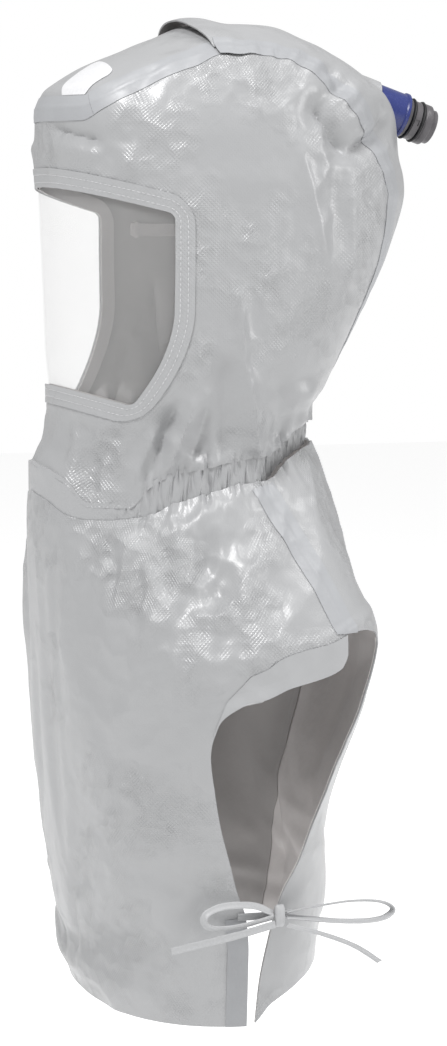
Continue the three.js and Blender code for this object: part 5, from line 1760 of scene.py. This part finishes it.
class HoodClothSettings(bpy.types.PropertyGroup):
    thickness: FloatProperty(
        name="Cloth thickness", description="Wall of the coated cloth", default=0.0013, min=0.0003, unit="LENGTH"
    )
    growth: FloatProperty(
        name="Slack", description="How much larger than its pattern the simulated cloth is", default=0.012,
        subtype="FACTOR",
    )
    drift_cap: FloatProperty(
        name="Largest crease", description="How far the simulation may move the cloth", default=0.004, unit="LENGTH"
    )
    emboss_pitch: FloatProperty(
        name="Emboss pitch", description="Size of the diamonds pressed into the cloth", default=0.0023, unit="LENGTH"
    )
    emboss_depth: FloatProperty(
        name="Emboss depth", description="Depth of the pressed diamonds", default=0.00042, unit="LENGTH"
    )
    roughness: FloatProperty(
        name="Roughness", description="Roughness of the cloth's coating", default=0.36, subtype="FACTOR"
    )
    colour: FloatVectorProperty(
        name="Cloth", description="Outside of the cloth", default=(0.325, 0.328, 0.334), subtype="COLOR"
    )
    inside_colour: FloatVectorProperty(
        name="Inside", description="Inside of the cloth", default=(0.36, 0.345, 0.34), subtype="COLOR"
    )
    tape_colour: FloatVectorProperty(
        name="Tape", description="Seam tapes and hems", default=(0.315, 0.321, 0.333), subtype="COLOR"
    )
    patch_colour: FloatVectorProperty(
        name="Patch", description="The bare patch on the brow", default=(0.6, 0.6, 0.61), subtype="COLOR"
    )
    thread_colour: FloatVectorProperty(
        name="Thread", description="Sewing thread", default=(0.52, 0.52, 0.53), subtype="COLOR"
    )
    stitch_spacing: FloatProperty(
        name="Stitch spacing", description="From one stitch to the next", default=0.0042, unit="LENGTH"
    )
    stitch_length: FloatProperty(name="Stitch length", description="Length of one stitch", default=0.0028, unit="LENGTH")
    stitch_thickness: FloatProperty(
        name="Thread radius", description="Radius of the sewing thread", default=0.00032, unit="LENGTH"
    )
    tie_width: FloatProperty(name="Tie width", description="Width of the tie straps", default=TIE_WIDTH, unit="LENGTH")


class HoodInletSettings(bpy.types.PropertyGroup):
    duct_colour: FloatVectorProperty(
        name="Duct", description="Blue air duct", default=(0.022, 0.033, 0.15), subtype="COLOR"
    )
    connector_colour: FloatVectorProperty(
        name="Connector", description="Grey hose connector", default=(0.085, 0.08, 0.086), subtype="COLOR"
    )
    seal_colour: FloatVectorProperty(
        name="Seals", description="Rubber seal rings", default=(0.008, 0.008, 0.009), subtype="COLOR"
    )


class HoodStageSettings(bpy.types.PropertyGroup):
    floor_colour: FloatVectorProperty(
        name="Floor", description="Pale plain floor", default=(0.93, 0.93, 0.93), subtype="COLOR"
    )
    floor_glow: FloatProperty(name="Floor glow", description="Light of the lit floor itself", default=0.46)
    world_strength: FloatProperty(name="Room light", description="Even light from all round", default=0.52)
    key_power: FloatProperty(name="Key light", description="Power of the main light in watts", default=84.0)
    side_power: FloatProperty(name="Side light", description="Power of the side light in watts", default=30.0)
    top_power: FloatProperty(name="Top light", description="Power of the top light in watts", default=26.0)
    lens: FloatProperty(name="Lens", description="Focal length in millimetres", default=95.15)


class HoodStep:
    """One step of the hood's making."""

    bl_options = {"REGISTER", "UNDO"}
    step = None

    def execute(self, context):
        type(self).step()
        return {"FINISHED"}


class HOOD_OT_cloth(HoodStep, bpy.types.Operator):
    """Makes the hood's cloth and the two crown panels"""

    bl_idname = "hood.cloth"
    bl_label = "Hood cloth"
    step = staticmethod(hood_cloth)


class HOOD_OT_seam_tapes(HoodStep, bpy.types.Operator):
    """Seals the crown seams with tape"""

    bl_idname = "hood.seam_tapes"
    bl_label = "Seam tapes"
    step = staticmethod(seam_tapes)


class HOOD_OT_brow_patch(HoodStep, bpy.types.Operator):
    """Lays the bare patch on the brow"""

    bl_idname = "hood.brow_patch"
    bl_label = "Brow patch"
    step = staticmethod(brow_patch)


class HOOD_OT_visor(HoodStep, bpy.types.Operator):
    """Makes the clear visor, its sewn border and the straps inside"""

    bl_idname = "hood.visor"
    bl_label = "Visor"
    step = staticmethod(visor_window)


class HOOD_OT_neck_band(HoodStep, bpy.types.Operator):
    """Makes the ruffled elastic band at the neck"""

    bl_idname = "hood.neck_band"
    bl_label = "Neck band"
    step = staticmethod(neck_band)


class HOOD_OT_cape(HoodStep, bpy.types.Operator):
    """Makes the cape's two panels, their hems and the shoulder tapes"""

    bl_idname = "hood.cape"
    bl_label = "Cape"
    step = staticmethod(cape)


class HOOD_OT_stitches(HoodStep, bpy.types.Operator):
    """Sews the stitch lines round the visor"""

    bl_idname = "hood.stitches"
    bl_label = "Stitches"
    step = staticmethod(stitches)


class HOOD_OT_ties(HoodStep, bpy.types.Operator):
    """Ties the bows at the cape's sides"""

    bl_idname = "hood.ties"
    bl_label = "Ties"
    step = staticmethod(ties)


class HOOD_OT_air_inlet(HoodStep, bpy.types.Operator):
    """Makes the air duct, the hose connector and its seal rings"""

    bl_idname = "hood.air_inlet"
    bl_label = "Air inlet"
    step = staticmethod(air_inlet)


class HOOD_OT_stage(HoodStep, bpy.types.Operator):
    """Sets the floor, the lights and the camera"""

    bl_idname = "hood.stage"
    bl_label = "Stage"
    step = staticmethod(stage)


STEPS = (
    HOOD_OT_stage,
    HOOD_OT_cloth,
    HOOD_OT_seam_tapes,
    HOOD_OT_brow_patch,
    HOOD_OT_visor,
    HOOD_OT_neck_band,
    HOOD_OT_cape,
    HOOD_OT_stitches,
    HOOD_OT_ties,
    HOOD_OT_air_inlet,
)


class HOOD_PT_panel(bpy.types.Panel):
    """Lists the hood's steps and settings"""

    bl_idname = "HOOD_PT_panel"
    bl_label = "Respirator Hood"
    bl_space_type = "VIEW_3D"
    bl_region_type = "UI"
    bl_category = "Hood"

    def draw(self, context):
        for operator in STEPS:
            self.layout.operator(operator.bl_idname)
        for group in (context.scene.hood_cloth, context.scene.hood_inlet, context.scene.hood_stage):
            box = self.layout.box()
            for name in group.bl_rna.properties.keys():
                if name not in ("rna_type", "name"):
                    box.prop(group, name)


GROUPS = (HoodClothSettings, HoodInletSettings, HoodStageSettings)


def register():
    for cls in (*GROUPS, *STEPS, HOOD_PT_panel):
        bpy.utils.register_class(cls)
    bpy.types.Scene.hood_cloth = PointerProperty(type=HoodClothSettings)
    bpy.types.Scene.hood_inlet = PointerProperty(type=HoodInletSettings)
    bpy.types.Scene.hood_stage = PointerProperty(type=HoodStageSettings)


def unregister():
    del bpy.types.Scene.hood_cloth, bpy.types.Scene.hood_inlet, bpy.types.Scene.hood_stage
    for cls in reversed((*GROUPS, *STEPS, HOOD_PT_panel)):
        bpy.utils.unregister_class(cls)


def main():
    register()
    for operator in STEPS:
        category, name = operator.bl_idname.split(".")
        getattr(getattr(bpy.ops, category), name)()


if __name__ == "__main__":
    main()
